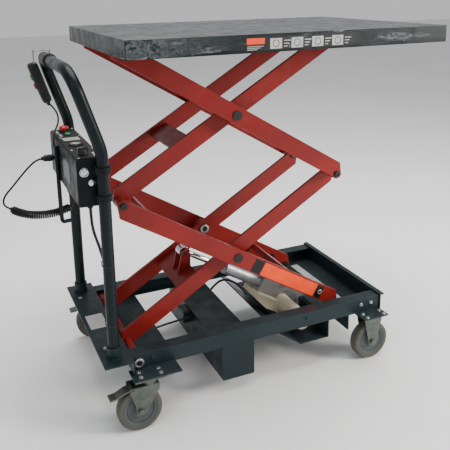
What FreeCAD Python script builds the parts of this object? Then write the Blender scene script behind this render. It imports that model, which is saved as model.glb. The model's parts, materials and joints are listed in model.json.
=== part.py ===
import FreeCAD, Part
import math
import os
import re
import Sketcher

# Battery-powered double scissor lift table on four casters, one named solid or group per piece.
# Millimetres. The sketches and places below are written from the axis of the fixed lower pivot:
# x runs from the push handle towards the load end, y across the frame, z up from the floor.
# origin_x then moves everything along x, so that the row's origin is under the middle of its box.

App = FreeCAD
Vector = App.Vector
doc = App.newDocument("scissor_lift_table")

SIZES = {
    # frame of reference
    "origin_x": 373.58,
    # scissor linkage
    "arm_pitch": 800, "rest_angle": 32.5, "pivot_height": 176, "pivot_offset": 11,
    "arm_width": 50, "arm_thick": 10, "arm_over": 15.5, "inner_arm_y": 110, "outer_arm_y": 156,
    "boss_radius": 15.5, "centre_boss_radius": 21, "pin_radius": 10, "pin_cap_radius": 14,
    "pin_gap": 0.05, "knee_cap_radius": 10.5, "end_pin_radius": 8,
    # base frame
    "rail_left": -18.5, "rail_right": 804, "rail_y": 231.5, "rail_low": 155, "rail_high": 201,
    "rail_flange": 40, "steel_thick": 4, "floor_thick": 4,
    # casters
    "wheel_radius": 62.5, "wheel_width": 32, "handle_hub_x": -14, "handle_hub_y": 264,
    "load_hub_x": 761, "load_hub_y": 242.5, "caster_trail": 30,
    # push handle
    "upright_x": -62, "upright_y": 213, "tube_radius": 16, "lean_height": 775,
    "bar_height": 980, "bar_x": -128, "corner_bend": 62, "upright_foot": 186,
    # control box
    "box_left": -124, "box_right": -50, "box_half": 192, "box_low": 630, "box_high": 755,
    # table
    "table_left": -20, "table_right": 920, "table_half": 325, "skirt_height": 46,
    "plate_thick": 4, "skirt_thick": 3, "plate_rise": 16.9, "film_thick": 0.6,
    # actuator
    "actuator_y": -15, "rear_pin_x": 636, "rear_pin_z": 130, "yoke_pin_x": 216,
    "yoke_pin_z": 381, "cover_half": 27, "outer_tube_radius": 20, "rod_radius": 9,
    "clevis_pin_radius": 6, "eye_gap": 6, "motor_radius": 28,
    # cords
    "cord_radius": 2.75, "cable_radius": 4, "coil_radius": 13,
}

sheet = doc.addObject("Spreadsheet::Sheet", "Sizes")
for line, (alias, number) in enumerate(SIZES.items(), 1):
    sheet.set(f"A{line}", alias)
    sheet.set(f"B{line}", str(number))
    sheet.setAlias(f"B{line}", alias)
doc.recompute()

ALIAS = re.compile(r"\b(" + "|".join(SIZES) + r")\b")
ALONG = {
    "X": App.Rotation(Vector(0, 1, 0), 90),
    "Y": App.Rotation(Vector(1, 0, 0), -90),
    "Z": App.Rotation(),
}


def link(text):
    """Turn the sheet's words in an expression into references to its cells."""
    return ALIAS.sub(r"Sizes.\1", str(text))


def size(text):
    """The value of an expression, for shapes that are computed rather than bound."""
    return float(sheet.evalExpression(link(text)))


def bind(thing, prop, text):
    thing.setExpression(prop, link(text))


def place(thing, at, turn=None):
    """Put an object at expressions (x, y, z), with x counted from the fixed pivot."""
    if turn is not None:
        thing.Placement = App.Placement(Vector(), turn)
    bind(thing, ".Placement.Base.x", f"({at[0]}) - origin_x")
    bind(thing, ".Placement.Base.y", at[1])
    bind(thing, ".Placement.Base.z", at[2])
    return thing


def box(name, low, sides):
    """A block from its lowest corner and its three sides."""
    block = doc.addObject("Part::Box", name)
    for prop, text in zip(("Length", "Width", "Height"), sides):
        bind(block, prop, text)
    return place(block, low)


def rod(name, radius, length, at, axis):
    """A cylinder that starts at a point and runs along +X, +Y or +Z."""
    cylinder = doc.addObject("Part::Cylinder", name)
    bind(cylinder, "Radius", radius)
    bind(cylinder, "Height", length)
    return place(cylinder, at, ALONG[axis])


def across(name, radius, low_y, high_y, x, z):
    """A cylinder along Y between two stations."""
    return rod(name, radius, f"({high_y}) - ({low_y})", (x, low_y, z), "Y")


def fuse(name, parts):
    joined = doc.addObject("Part::MultiFuse", name)
    joined.Shapes = parts
    return joined


def cut(name, base, tools):
    removed = doc.addObject("Part::Cut", name)
    removed.Base = base
    removed.Tool = tools[0] if len(tools) == 1 else fuse(name + "_tools", tools)
    return removed


def group(name, parts):
    together = doc.addObject("Part::Compound", name)
    together.Links = parts
    return together


def soften(name, base, radius, keep):
    """Round those edges of a solid that keep(edge) accepts."""
    doc.recompute()
    rounded = doc.addObject("Part::Fillet", name)
    rounded.Base = base
    rounded.Edges = [
        (number, radius, radius)
        for number, edge in enumerate(base.Shape.Edges, 1)
        if keep(edge)
    ]
    return rounded


def runs_along(axis):
    """An edge test: straight and parallel to an axis."""
    def test(edge):
        if not isinstance(edge.Curve, Part.Line):
            return False
        return abs(abs(edge.Curve.Direction.dot(axis)) - 1) < 1e-6
    return test


def new_body(name, at=("origin_x", "0", "0"), turn=None):
    body = doc.addObject("PartDesign::Body", name)
    place(body, at, turn)
    return body


def new_sketch(body, role, name):
    """A sketch on one of the body's own origin planes."""
    sketch = body.newObject("Sketcher::SketchObject", name)
    plane = next(item for item in body.Origin.OriginFeatures if item.Role == role)
    sketch.AttachmentSupport = [(plane, "")]
    sketch.MapMode = "FlatFace"
    return sketch


def hold(sketch, kind, geometry, point, text):
    """Fix one coordinate of a sketch point to an expression."""
    along_x = kind == "DistanceX"
    if str(text) == "0":
        axis = -2 if along_x else -1
        sketch.addConstraint(Sketcher.Constraint("PointOnObject", geometry, point, axis))
        return
    number = sketch.addConstraint(
        Sketcher.Constraint(kind, -1, 1, geometry, point, size(text)))
    bind(sketch, f"Constraints[{number}]", text)


def outline(sketch, corners):
    """A closed outline of straight sides through corners given as expressions."""
    points = [Vector(size(x), size(y), 0) for x, y in corners]
    first = sketch.GeometryCount
    count = len(points)
    for index in range(count):
        sketch.addGeometry(Part.LineSegment(points[index], points[(index + 1) % count]))
    for index in range(count):
        after = first + (index + 1) % count
        sketch.addConstraint(Sketcher.Constraint("Coincident", first + index, 2, after, 1))
    for index, (x, y) in enumerate(corners):
        hold(sketch, "DistanceX", first + index, 1, x)
        hold(sketch, "DistanceY", first + index, 1, y)


def circle(sketch, x, y, radius):
    shape = Part.Circle(Vector(size(x), size(y), 0), Vector(0, 0, 1), size(radius))
    index = sketch.addGeometry(shape)
    number = sketch.addConstraint(Sketcher.Constraint("Radius", index, size(radius)))
    bind(sketch, f"Constraints[{number}]", radius)
    hold(sketch, "DistanceX", index, 3, x)
    hold(sketch, "DistanceY", index, 3, y)


def pad(body, sketch, length, symmetric=True, reverse=False):
    feature = body.newObject("PartDesign::Pad", sketch.Name + "_pad")
    feature.Profile = sketch
    feature.Midplane = symmetric
    feature.Reversed = reverse
    bind(feature, "Length", length)
    return feature



def extrusion(name, role, corners, length, at, turn=None, holes=()):
    """A body padded both ways from an outline, with round holes through it."""
    body = new_body(name, at, turn)
    profile = new_sketch(body, role, name + "_profile")
    outline(profile, corners)
    for x, y, radius in holes:
        circle(profile, x, y, radius)
    pad(body, profile, length)
    return body


SIDES = {"near": "-1", "far": "1"}


def stations(side, low, high):
    """Two distances from the centre plane as low and high y on one side of it."""
    if side == "near":
        return f"-({high})", f"-({low})"
    return low, high


# ---- scissor linkage: places that several pieces share ----
RISE = "arm_pitch * sin(rest_angle)"
REACH = "arm_pitch * cos(rest_angle)"
LEAD = "sqrt((arm_pitch / 2)^2 - pivot_offset^2)"
BAR_ANGLE = "(rest_angle - asin(2 * pivot_offset / arm_pitch) / 1deg)"
FIXED = ("0", "pivot_height")
ROLLER = (REACH, "pivot_height")
CROSS = (f"{REACH} / 2", f"pivot_height + {RISE} / 2")
LEFT_KNEE = ("0", f"pivot_height + {RISE}")
RIGHT_KNEE = (REACH, f"pivot_height + {RISE}")
UPPER_CROSS = (f"{REACH} / 2", f"pivot_height + 1.5 * {RISE}")
TABLE_PIN = ("0", f"pivot_height + 2 * {RISE}")
TABLE_ROLLER = (REACH, f"pivot_height + 2 * {RISE}")
PIN_HOLE = "pin_radius + pin_gap"
END_HOLE = "end_pin_radius + pin_gap"
TUBE_HOLE = "13.55"
RISING = App.Rotation(Vector(0, -1, 0), size(BAR_ANGLE))
FALLING = App.Rotation(Vector(0, 1, 0), size(BAR_ANGLE))


def arm(name, side, centre, y, rising, holes, bosses):
    """A flat bar with its end pivots near opposite edges, and welded spacer bosses."""
    place_at = (centre[0], f"-({y})" if side == "near" else y, centre[1])
    turn = RISING if rising else FALLING
    body = new_body(name, place_at, turn)
    bind(body, ".Placement.Rotation.Angle", BAR_ANGLE)
    flip = "" if rising else "-"
    end = f"({LEAD} + arm_over)"
    half = "arm_width / 2"
    corners = [
        (f"-{end}", f"-({half} - 9)"), (f"-{end} + 9", f"-({half})"),
        (f"{end} - 24", f"-({half})"), (end, f"-({half} - 30)"),
        (end, f"{half} - 9"), (f"{end} - 9", half),
        (f"-{end} + 24", half), (f"-{end}", f"{half} - 30"),
    ]
    bar = new_sketch(body, "XZ_Plane", name + "_bar")
    outline(bar, [(x, f"{flip}({z})") for x, z in corners])
    spots = {
        "low": (f"-{LEAD}", f"{flip}(-pivot_offset)"),
        "mid": ("0", "0"),
        "high": (LEAD, f"{flip}(pivot_offset)"),
        "bolt": (BOLT_ALONG, "0"),
    }
    for spot, radius in holes.items():
        circle(bar, *spots[spot], radius)
    pad(body, bar, "arm_thick")
    if bosses:
        rings = new_sketch(body, "XZ_Plane", name + "_bosses")
        for spot, radius in bosses.items():
            circle(rings, *spots[spot], radius)
            circle(rings, *spots[spot], holes[spot])
        pad(body, rings, "outer_arm_y - inner_arm_y - arm_thick / 2 - 0.5",
            symmetric=False, reverse=side == "far")
    return body


BOLT_ALONG = "330"


def arm_pair(name, centre, y, rising, holes, bosses=None):
    return group(name, [
        arm(f"{name}_{side}", side, centre, y, rising, holes, bosses) for side in SIDES])


def pivot_pin(name, side, at, radius, inner, outer, cap, collar=None):
    """A pin across an inner and an outer arm, with a head outside and a collar inside."""
    x, z = at
    low, high = stations(side, inner, outer)
    parts = [across(name + "_shank", radius, low, high, x, z)]
    low, high = stations(side, outer, f"({outer}) + 2.7")
    parts.append(across(name + "_head", cap, low, high, x, z))
    if collar:
        low, high = stations(side, f"({inner}) - 1.5", f"({inner}) + 3.7")
        parts.append(across(name + "_collar", collar, low, high, x, z))
    return fuse(name, parts)


INNER_FACE = "inner_arm_y - arm_thick / 2"
OUTER_FACE = "outer_arm_y + arm_thick / 2"
PIN_IN = f"{INNER_FACE} - 4"
PIN_OUT = f"{OUTER_FACE} + 0.3"
B_INNER = "outer_arm_y - arm_thick / 2 - 4"

arm_pair("lower_inner_arms", CROSS, "inner_arm_y", True,
         {"low": TUBE_HOLE, "mid": PIN_HOLE, "high": END_HOLE},
         {"mid": "centre_boss_radius", "high": "boss_radius"})
arm_pair("lower_outer_arms", CROSS, "outer_arm_y", False,
         {"low": END_HOLE, "mid": PIN_HOLE, "high": END_HOLE, "bolt": "5.05"})
arm_pair("upper_inner_arms", UPPER_CROSS, "inner_arm_y", True,
         {"low": END_HOLE, "mid": PIN_HOLE, "high": END_HOLE},
         {"low": "boss_radius", "mid": "centre_boss_radius"})
arm_pair("upper_outer_arms", UPPER_CROSS, "outer_arm_y", False,
         {"low": END_HOLE, "mid": PIN_HOLE, "high": END_HOLE})

# Red tube welded across the lower inner arms, turning on the fixed shaft.
pivot_sleeve = across("pivot_sleeve", "13.5", "-190.5", "190.5", *FIXED)
pivot_bore = across("pivot_bore", "pin_radius + pin_gap", "-200", "200", *FIXED)
cut("pivot_tube", pivot_sleeve, [pivot_bore])
group("pivot_shaft", [fuse("pivot_shaft_solid", [
    across("shaft_core", "pin_radius", "-(rail_y + 1)", "rail_y + 1", *FIXED),
    across("shaft_near_end", "14", "-(rail_y + 4)", "-rail_y", *FIXED),
    across("shaft_far_end", "14", "rail_y", "rail_y + 4", *FIXED),
])])

# Cross plate between the lower inner arms with the two ears that the lifting rod pushes.
# Its sketches run along the arms, from the fixed pivot.
YOKE_X = "(yoke_pin_x * cos(BAR) + (yoke_pin_z - pivot_height) * sin(BAR))"
YOKE_Z = "((yoke_pin_z - pivot_height) * cos(BAR) - yoke_pin_x * sin(BAR))"
YOKE_X = YOKE_X.replace("BAR", BAR_ANGLE)
YOKE_Z = YOKE_Z.replace("BAR", BAR_ANGLE)


def along_arms(name, corners, length, y, holes=()):
    piece = extrusion(name, "XZ_Plane", corners, length, ("0", y, "pivot_height"), RISING, holes)
    bind(piece, ".Placement.Rotation.Angle", BAR_ANGLE)
    return piece


EAR = [("228", "18"), ("280", "18"), (f"{YOKE_X} + 12", f"{YOKE_Z} - 10"),
       (f"{YOKE_X} + 12", f"{YOKE_Z} + 6"), (f"{YOKE_X} + 5", f"{YOKE_Z} + 12"),
       (f"{YOKE_X} - 6", f"{YOKE_Z} + 12"), (f"{YOKE_X} - 13", f"{YOKE_Z} + 4")]
fuse("lift_yoke", [
    along_arms("yoke_plate", [("208", "14"), ("282", "14"), ("282", "22"), ("208", "22")],
               f"2 * ({INNER_FACE})", "0"),
    along_arms("yoke_near_ear", EAR, "6", "actuator_y - 22",
               [(YOKE_X, YOKE_Z, "clevis_pin_radius")]),
    along_arms("yoke_far_ear", EAR, "6", "actuator_y + 22",
               [(YOKE_X, YOKE_Z, "clevis_pin_radius")]),
])

group("lower_inner_pins", [
    pivot_pin("lower_centre_pin_" + side, side, CROSS, "pin_radius", PIN_IN, PIN_OUT,
              "pin_cap_radius", "15") for side in SIDES
] + [fuse("yoke_pin", [
    across("yoke_pin_shank", "clevis_pin_radius", "actuator_y - 28", "actuator_y + 30",
           "yoke_pin_x", "yoke_pin_z"),
    across("yoke_pin_head", "8.5", "actuator_y + 25", "actuator_y + 30",
           "yoke_pin_x", "yoke_pin_z"),
])])


def cross_tie(name, centre, along, up, width, depth, y_half, turn):
    """A bar across a pair of arms, at a place along and up from their centre pin."""
    corners = [(f"{along} - {width} / 2", f"{up} - {depth} / 2"),
               (f"{along} + {width} / 2", f"{up} - {depth} / 2"),
               (f"{along} + {width} / 2", f"{up} + {depth} / 2"),
               (f"{along} - {width} / 2", f"{up} + {depth} / 2")]
    tie = extrusion(name, "XZ_Plane", corners, f"2 * ({y_half})",
                    (centre[0], "0", centre[1]), turn)
    bind(tie, ".Placement.Rotation.Angle", BAR_ANGLE)
    return tie


OUTER_GAP = "outer_arm_y - arm_thick / 2"
group("lower_outer_ties", [
    cross_tie("knee_tie", CROSS, "-313", "12", "16", "10", OUTER_GAP, FALLING),
    cross_tie("roller_tie", CROSS, "227", "6", "20", "20", OUTER_GAP, FALLING),
])
cross_tie("upper_inner_plate", UPPER_CROSS, "-165", "8", "62", "8", INNER_FACE, RISING)


def arm_bolt(side):
    """The bolt beside the roller end of a lower outer arm: shank, head outside and nut inside."""
    spot = (f"{CROSS[0]} + {BOLT_ALONG} * cos({BAR_ANGLE})",
            f"{CROSS[1]} - {BOLT_ALONG} * sin({BAR_ANGLE})")
    parts = [across(f"arm_bolt_{name}_{side}", radius, *stations(side, low, high), *spot)
             for name, radius, low, high in (
                 ("shank", "5", B_INNER, f"{OUTER_FACE} + 5"),
                 ("head", "8.5", OUTER_FACE, f"{OUTER_FACE} + 5"),
                 ("nut", "8.5", B_INNER, OUTER_GAP))]
    return fuse("arm_bolt_" + side, parts)


def roller_axle(name, side, at, inner, outer, collar_low, collar_high):
    low, high = stations(side, inner, outer)
    core = across(name + "_core", "end_pin_radius", low, high, *at)
    low, high = stations(side, collar_low, collar_high)
    return fuse(name, [core, across(name + "_collar", "12", low, high, *at)])


group("lower_outer_pins", [
    item for side in SIDES for item in (
        pivot_pin("left_knee_pin_" + side, side, LEFT_KNEE, "end_pin_radius", PIN_IN,
                  PIN_OUT, "knee_cap_radius", "11"),
        roller_axle("lower_axle_" + side, side, ROLLER, B_INNER, "226",
                    B_INNER, f"{OUTER_GAP} - 0.3"),
        arm_bolt(side))])
group("upper_inner_pins", [
    item for side in SIDES for item in (
        pivot_pin("upper_centre_pin_" + side, side, UPPER_CROSS, "pin_radius", PIN_IN,
                  PIN_OUT, "pin_cap_radius", "15"),
        roller_axle("upper_axle_" + side, side, TABLE_ROLLER, PIN_IN, "144",
                    PIN_IN, f"{INNER_FACE} - 0.3"))])
group("upper_outer_pins", [
    item for side in SIDES for item in (
        pivot_pin("right_knee_pin_" + side, side, RIGHT_KNEE, "end_pin_radius", PIN_IN,
                  PIN_OUT, "knee_cap_radius", "11"),
        across("table_pin_" + side, "end_pin_radius", *stations(side, "137", "175"),
               *TABLE_PIN))])


def roller_pair(name, at, radius, low, high):
    rings = []
    for side in SIDES:
        outer = across(f"{name}_{side}_disc", radius, *stations(side, low, high), *at)
        hole = across(f"{name}_{side}_hole", END_HOLE,
                      *stations(side, f"{low} - 1", f"{high} + 1"), *at)
        rings.append(cut(f"{name}_{side}", outer, [hole]))
    return group(name, rings)


roller_pair("lower_rollers", ROLLER, "16.5", "204", "223")
roller_pair("upper_rollers", TABLE_ROLLER, "12.4", "125", "143")

# ---- table: folded plate, pivot lugs, roller channels and protective film ----
PLATE_LOW = f"{TABLE_PIN[1]} + plate_rise"
TABLE_TOP = f"{PLATE_LOW} + plate_thick"
table_block = box("table_block", ("table_left", "-table_half", f"{TABLE_TOP} - skirt_height"),
                  ("table_right - table_left", "2 * table_half", "skirt_height"))
table_hollow = box("table_hollow",
                   ("table_left + skirt_thick", "-table_half + skirt_thick",
                    f"{TABLE_TOP} - skirt_height - 1"),
                   ("table_right - table_left - 2 * skirt_thick",
                    "2 * table_half - 2 * skirt_thick", "skirt_height - plate_thick + 1"))
soft_table = soften("soft_table", table_block, 3, runs_along(Vector(0, 0, 1)))
tray = cut("table_tray", soft_table, [table_hollow])
lugs = []
for side in SIDES:
    for spot, low, high in (("inner", "137", "147"), ("outer", "165", "175")):
        low_y, high_y = stations(side, low, high)
        lug = box(f"lug_{spot}_{side}", ("-16", low_y, f"{TABLE_PIN[1]} - 16"),
                  ("46", f"({high_y}) - ({low_y})", "plate_rise + 17"))
        hole = across(f"lug_hole_{spot}_{side}", END_HOLE, f"({low_y}) - 1",
                      f"({high_y}) + 1", *TABLE_PIN)
        lugs.append(cut(f"table_lug_{spot}_{side}", lug, [hole]))
fuse("table_top", [tray] + lugs)

film_block = box("film_block",
                 ("table_left - film_thick", "-table_half - film_thick",
                  f"{TABLE_TOP} - skirt_height"),
                 ("table_right - table_left + 2 * film_thick",
                  "2 * table_half + 2 * film_thick", "skirt_height + film_thick"))
soft_film = soften("soft_film", film_block, 3.6, runs_along(Vector(0, 0, 1)))
film_core = box("film_core", ("table_left", "-table_half", f"{TABLE_TOP} - skirt_height - 1"),
                ("table_right - table_left", "2 * table_half", "skirt_height + 1"))
cut("table_film", soft_film, [soften("soft_core", film_core, 3, runs_along(Vector(0, 0, 1)))])


def channel(name, side, x, length, web_y, edge_y, low, high):
    """A C section along X with its web outside and its open side towards the middle."""
    sign = SIDES[side]
    corners = [(edge_y, low), (web_y, low), (web_y, high), (edge_y, high),
               (edge_y, f"{high} - steel_thick"), (f"{web_y} - steel_thick", f"{high} - steel_thick"),
               (f"{web_y} - steel_thick", f"{low} + steel_thick"), (edge_y, f"{low} + steel_thick")]
    body = new_body(name, (x, "0", "0"))
    profile = new_sketch(body, "YZ_Plane", name + "_profile")
    outline(profile, [(f"{sign} * ({y})", z) for y, z in corners])
    pad(body, profile, length, symmetric=False)
    return body


group("table_channels", [
    channel(f"table_channel_{side}", side, "560", "270", "149", "121",
            f"{TABLE_PIN[1]} - 17", f"{PLATE_LOW}") for side in SIDES])

# ---- base frame ----
for side in SIDES:
    rail = channel(f"{side}_rail_section", side, "rail_left", "rail_right - rail_left",
                   "rail_y", "rail_y - rail_flange", "rail_low", "rail_high")
    hole_y = stations(side, "rail_y - 10", "rail_y + 10")
    cut(f"{side}_side_rail", rail, [across(f"{side}_rail_hole", "pin_radius + 0.2", *hole_y, *FIXED)])

FLOOR_HALF = "(rail_y - rail_flange - 0.5)"
box("handle_end_floor", ("rail_left", f"-{FLOOR_HALF}", "rail_low"),
    ("112 - rail_left", f"2 * {FLOOR_HALF}", "floor_thick"))
floor_plate = box("floor_plate", ("620", f"-{FLOOR_HALF}", "rail_low"),
                  ("rail_right - 620", f"2 * {FLOOR_HALF}", "floor_thick"))
floor_wall = box("floor_wall", ("688", "-(rail_y - 2.5)", "104"),
                 ("4", "2 * (rail_y - 2.5)", "rail_low - 104"))
floor_notch = box("floor_notch", ("600", "actuator_y - 45", "rail_low - 5"), ("72", "90", "20"))
cut("load_end_floor", fuse("folded_floor", [floor_plate, floor_wall]), [floor_notch])

END_OUT = "rail_right + 16"
extrusion("end_plate", "XZ_Plane", [
    ("rail_right", "129"), (END_OUT, "129"), (END_OUT, "133"), ("rail_right + 4", "133"),
    ("rail_right + 4", "202"), (END_OUT, "202"), (END_OUT, "206"), ("rail_right", "206"),
], "2 * (rail_y + 4.5)", ("0", "0", "0"))

HANDLE_PLATE_LEFT = "-100"
handle_angle = extrusion("handle_angle", "XZ_Plane", [
    (HANDLE_PLATE_LEFT, "197"), ("rail_left - 4", "197"), ("rail_left - 4", "rail_low + 4"),
    ("rail_left", "rail_low + 4"), ("rail_left", "rail_high"), (HANDLE_PLATE_LEFT, "rail_high"),
], "524", ("0", "0", "0"))
sockets = [rod(f"socket_{side}", "tube_radius + 4", "34",
               ("upright_x", f"{sign} * upright_y", "rail_high - 1"), "Z")
           for side, sign in SIDES.items()]
plate_holes = [rod(f"upright_hole_{side}", "tube_radius + 0.05", "60",
                   ("upright_x", f"{sign} * upright_y", "185"), "Z")
               for side, sign in SIDES.items()]
plate_holes.append(rod("cable_hole", "cable_radius + 3", "60", ("upright_x", "-190", "185"), "Z"))
cut("handle_plate", fuse("plate_and_sockets", [handle_angle] + sockets), plate_holes)

trough_fold = extrusion("trough_fold", "XZ_Plane", [
    ("435", "155"), ("515", "98"), ("616", "98"), ("616", "155"),
    ("613", "155"), ("613", "101"), ("516", "101"), ("440", "155"),
], "2 * (rail_y - 1)", ("0", "0", "0"))
trough_notch = box("trough_notch", ("590", "actuator_y - 45", "104"), ("40", "90", "60"))
cut("actuator_trough", trough_fold, [trough_notch])

battery_block = box("battery_block", ("250", "-(rail_y - 0.5)", "45"),
                    ("104", "2 * (rail_y - 0.5)", "rail_low - 45"))
soft_battery = soften("soft_battery", battery_block, 6, runs_along(Vector(0, 1, 0)))
battery_hollow = box("battery_hollow", ("253", "-(rail_y - 3.5)", "48"),
                     ("98", "2 * (rail_y - 3.5)", "rail_low - 51"))
battery_lid = box("battery_lid", ("248", f"-{FLOOR_HALF}", "rail_low"),
                  ("114", f"2 * {FLOOR_HALF}", "3"))
battery_cap = soften("battery_cap", box("cap_block", ("222", "14", "112"), ("30", "56", "42")),
                     7, runs_along(Vector(1, 0, 0)))
battery_entry = rod("battery_entry", "cable_radius + 0.5", "16", ("242", "-4", "141.5"), "X")
battery_exit = rod("battery_exit", "cable_radius + 0.6", "12", ("346", "150", "132"), "X")
cut("battery_box", fuse("battery_shell", [soft_battery, battery_lid, battery_cap]),
    [battery_hollow, battery_entry, battery_exit])

# Bracket that holds the actuator's rear pin under the notch in the load-end floor.
rear_back = box("rear_back", ("672", "actuator_y - 44", "104"), ("6", "88", "51"))
rear_lugs = [box(f"rear_lug_{sign}", ("618", f"actuator_y + {offset}", "112"), ("56", "6", "36"))
             for sign, offset in (("near", "-37"), ("far", "31"))]
rear_pin = across("rear_pin", "clevis_pin_radius", "actuator_y - 40", "actuator_y + 40",
                  "rear_pin_x", "rear_pin_z")
fuse("clevis_bracket", [rear_back, rear_pin] + rear_lugs)

# ---- actuator, drawn along its own axis from the rear pin ----
AIM = "(180 - atan((yoke_pin_z - rear_pin_z) / (rear_pin_x - yoke_pin_x)) / 1deg)"
AIMED = App.Rotation(Vector(0, -1, 0), size(AIM))
PIN_SPAN = "sqrt((rear_pin_x - yoke_pin_x)^2 + (yoke_pin_z - rear_pin_z)^2)"


def along_actuator(name, corners, length, y):
    piece = extrusion(name, "XZ_Plane", corners, length, ("rear_pin_x", y, "rear_pin_z"), AIMED)
    bind(piece, ".Placement.Rotation.Angle", AIM)
    return piece


def actuator_rod(name, radius, start, length):
    """A cylinder on the actuator's axis, a distance from the rear pin."""
    turn = App.Rotation(Vector(0, -1, 0), size(f"{AIM} - 90"))
    cylinder = doc.addObject("Part::Cylinder", name)
    bind(cylinder, "Radius", radius)
    bind(cylinder, "Height", length)
    place(cylinder, (f"rear_pin_x + ({start}) * cos({AIM})", "actuator_y",
                     f"rear_pin_z + ({start}) * sin({AIM})"), turn)
    bind(cylinder, ".Placement.Rotation.Angle", f"{AIM} - 90")
    return cylinder


def on_actuator(along, below):
    """World x and z of a point along the axis and below it."""
    x = f"rear_pin_x + ({along}) * cos({AIM}) - ({below}) * sin({AIM})"
    z = f"rear_pin_z + ({along}) * sin({AIM}) + ({below}) * cos({AIM})"
    return x, z


cover_slab = along_actuator("cover_slab", [
    ("0", "-cover_half"), ("186", "-cover_half"), ("186", "cover_half"), ("0", "cover_half"),
], "56", "actuator_y")
cover_end = across("cover_end", "cover_half", "actuator_y - 28", "actuator_y + 28",
                   "rear_pin_x", "rear_pin_z")
tube_body = actuator_rod("tube_body", "outer_tube_radius", "180", "146")
tube_bore = actuator_rod("tube_bore", "rod_radius + 0.08", "22", "320")
rear_hole = across("rear_hole", "clevis_pin_radius + pin_gap", "actuator_y - 30",
                   "actuator_y + 30", "rear_pin_x", "rear_pin_z")
cut("actuator_tube", fuse("tube_and_cover", [cover_slab, cover_end, tube_body]),
    [tube_bore, rear_hole])

gear_case = along_actuator("gear_case", [
    ("96", "27.2"), ("206", "27.2"), ("206", "44"), ("150", "62"), ("96", "62"),
], "92", "actuator_y - 14")
motor_can = across("motor_can", "motor_radius", "-187", "actuator_y - 28.3",
                   *on_actuator("83", "31"))
fuse("actuator_motor", [gear_case, motor_can])

piston = actuator_rod("piston", "rod_radius", "125", f"{PIN_SPAN} - 125 - 10")
eye = across("rod_eye", "18", "actuator_y - 15", "actuator_y + 15", "yoke_pin_x", "yoke_pin_z")
eye_hole = across("eye_hole", "clevis_pin_radius + eye_gap", "actuator_y - 20",
                  "actuator_y + 20", "yoke_pin_x", "yoke_pin_z")
cut("actuator_rod", fuse("piston_and_eye", [piston, eye]), [eye_hole])


# ---- bent tubes and cords: straight runs joined by tangent arcs ----
def bent_wire(points, bends):
    """Lines through points with an arc of the given radius at each inner corner."""
    edges = []
    start = points[0]
    for index, radius in enumerate(bends, 1):
        corner = points[index]
        back = (points[index - 1] - corner).normalize()
        ahead = (points[index + 1] - corner).normalize()
        half = back.getAngle(ahead) / 2
        reach = radius / math.tan(half)
        first = corner + back * reach
        last = corner + ahead * reach
        inward = (back + ahead).normalize()
        middle = corner + inward * (radius / math.sin(half) - radius)
        edges.append(Part.makeLine(start, first))
        edges.append(Part.Arc(first, middle, last).toShape())
        start = last
    edges.append(Part.makeLine(start, points[-1]))
    return Part.Wire(edges)


def soft_bends(points):
    """The radius at each inner corner that uses 0.45 of the shorter run beside it."""
    radii = []
    for before, corner, after in zip(points, points[1:], points[2:]):
        back = before - corner
        ahead = after - corner
        half = (math.pi - back.getAngle(ahead)) / 2
        radii.append(0.45 * min(back.Length, ahead.Length) / math.tan(half))
    return radii


def swept(name, points, radius, bends=None):
    """A round bar along points given as expressions, and its measured volume."""
    corners = [Vector(size(f"({x}) - origin_x"), size(y), size(z)) for x, y, z in points]
    radii = soft_bends(corners) if bends is None else bends
    path = bent_wire(corners, radii)
    width = size(radius)
    ring = Part.makeCircle(width, corners[0], corners[1] - corners[0])
    solid = path.makePipeShell([Part.Wire([ring])], True, True)
    ratio = solid.Volume / (math.pi * width * width * path.Length)
    print(f"{name}: length {path.Length:.1f} mm, volume ratio {ratio:.4f}, bend radii",
          " ".join(f"{value:.0f}" for value in radii))
    feature = doc.addObject("Part::Feature", name)
    feature.Shape = solid
    return feature


# ---- push handle ----
LEAN = "(atan((upright_x - bar_x) / (bar_height - lean_height)) / 1deg)"
handle_route = [("upright_x", "-upright_y", "upright_foot"), ("upright_x", "-upright_y", "lean_height"),
                ("bar_x", "-upright_y", "bar_height"), ("bar_x", "upright_y", "bar_height"),
                ("upright_x", "upright_y", "lean_height"), ("upright_x", "upright_y", "upright_foot")]
CORNER = size("corner_bend")
group("handle_bar", [swept("handle_tube", handle_route, "tube_radius", [150, CORNER, CORNER, 150])])

# ---- control box between the uprights ----
STOP = ("-89", "153")
POWER = ("-87", "100")
GAUGE = ("-91", "-35")
KNOB = ("-97", "-154")
BUTTON_HOLE = "8.35"
KNOB_HOLE = "4.35"
PANEL_TOP = "box_high + 2.5"


def on_panel(name, spot, radius, low, height):
    """A cylinder over a spot of the control panel, its foot given from the panel's face."""
    return rod(name, radius, height, (spot[0], spot[1], f"{PANEL_TOP} + ({low})"), "Z")


def panel_holes(name):
    return [on_panel(name + "_stop", STOP, BUTTON_HOLE, "-20", "40"),
            on_panel(name + "_power", POWER, BUTTON_HOLE, "-20", "40"),
            on_panel(name + "_knob", KNOB, KNOB_HOLE, "-20", "40")]


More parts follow.
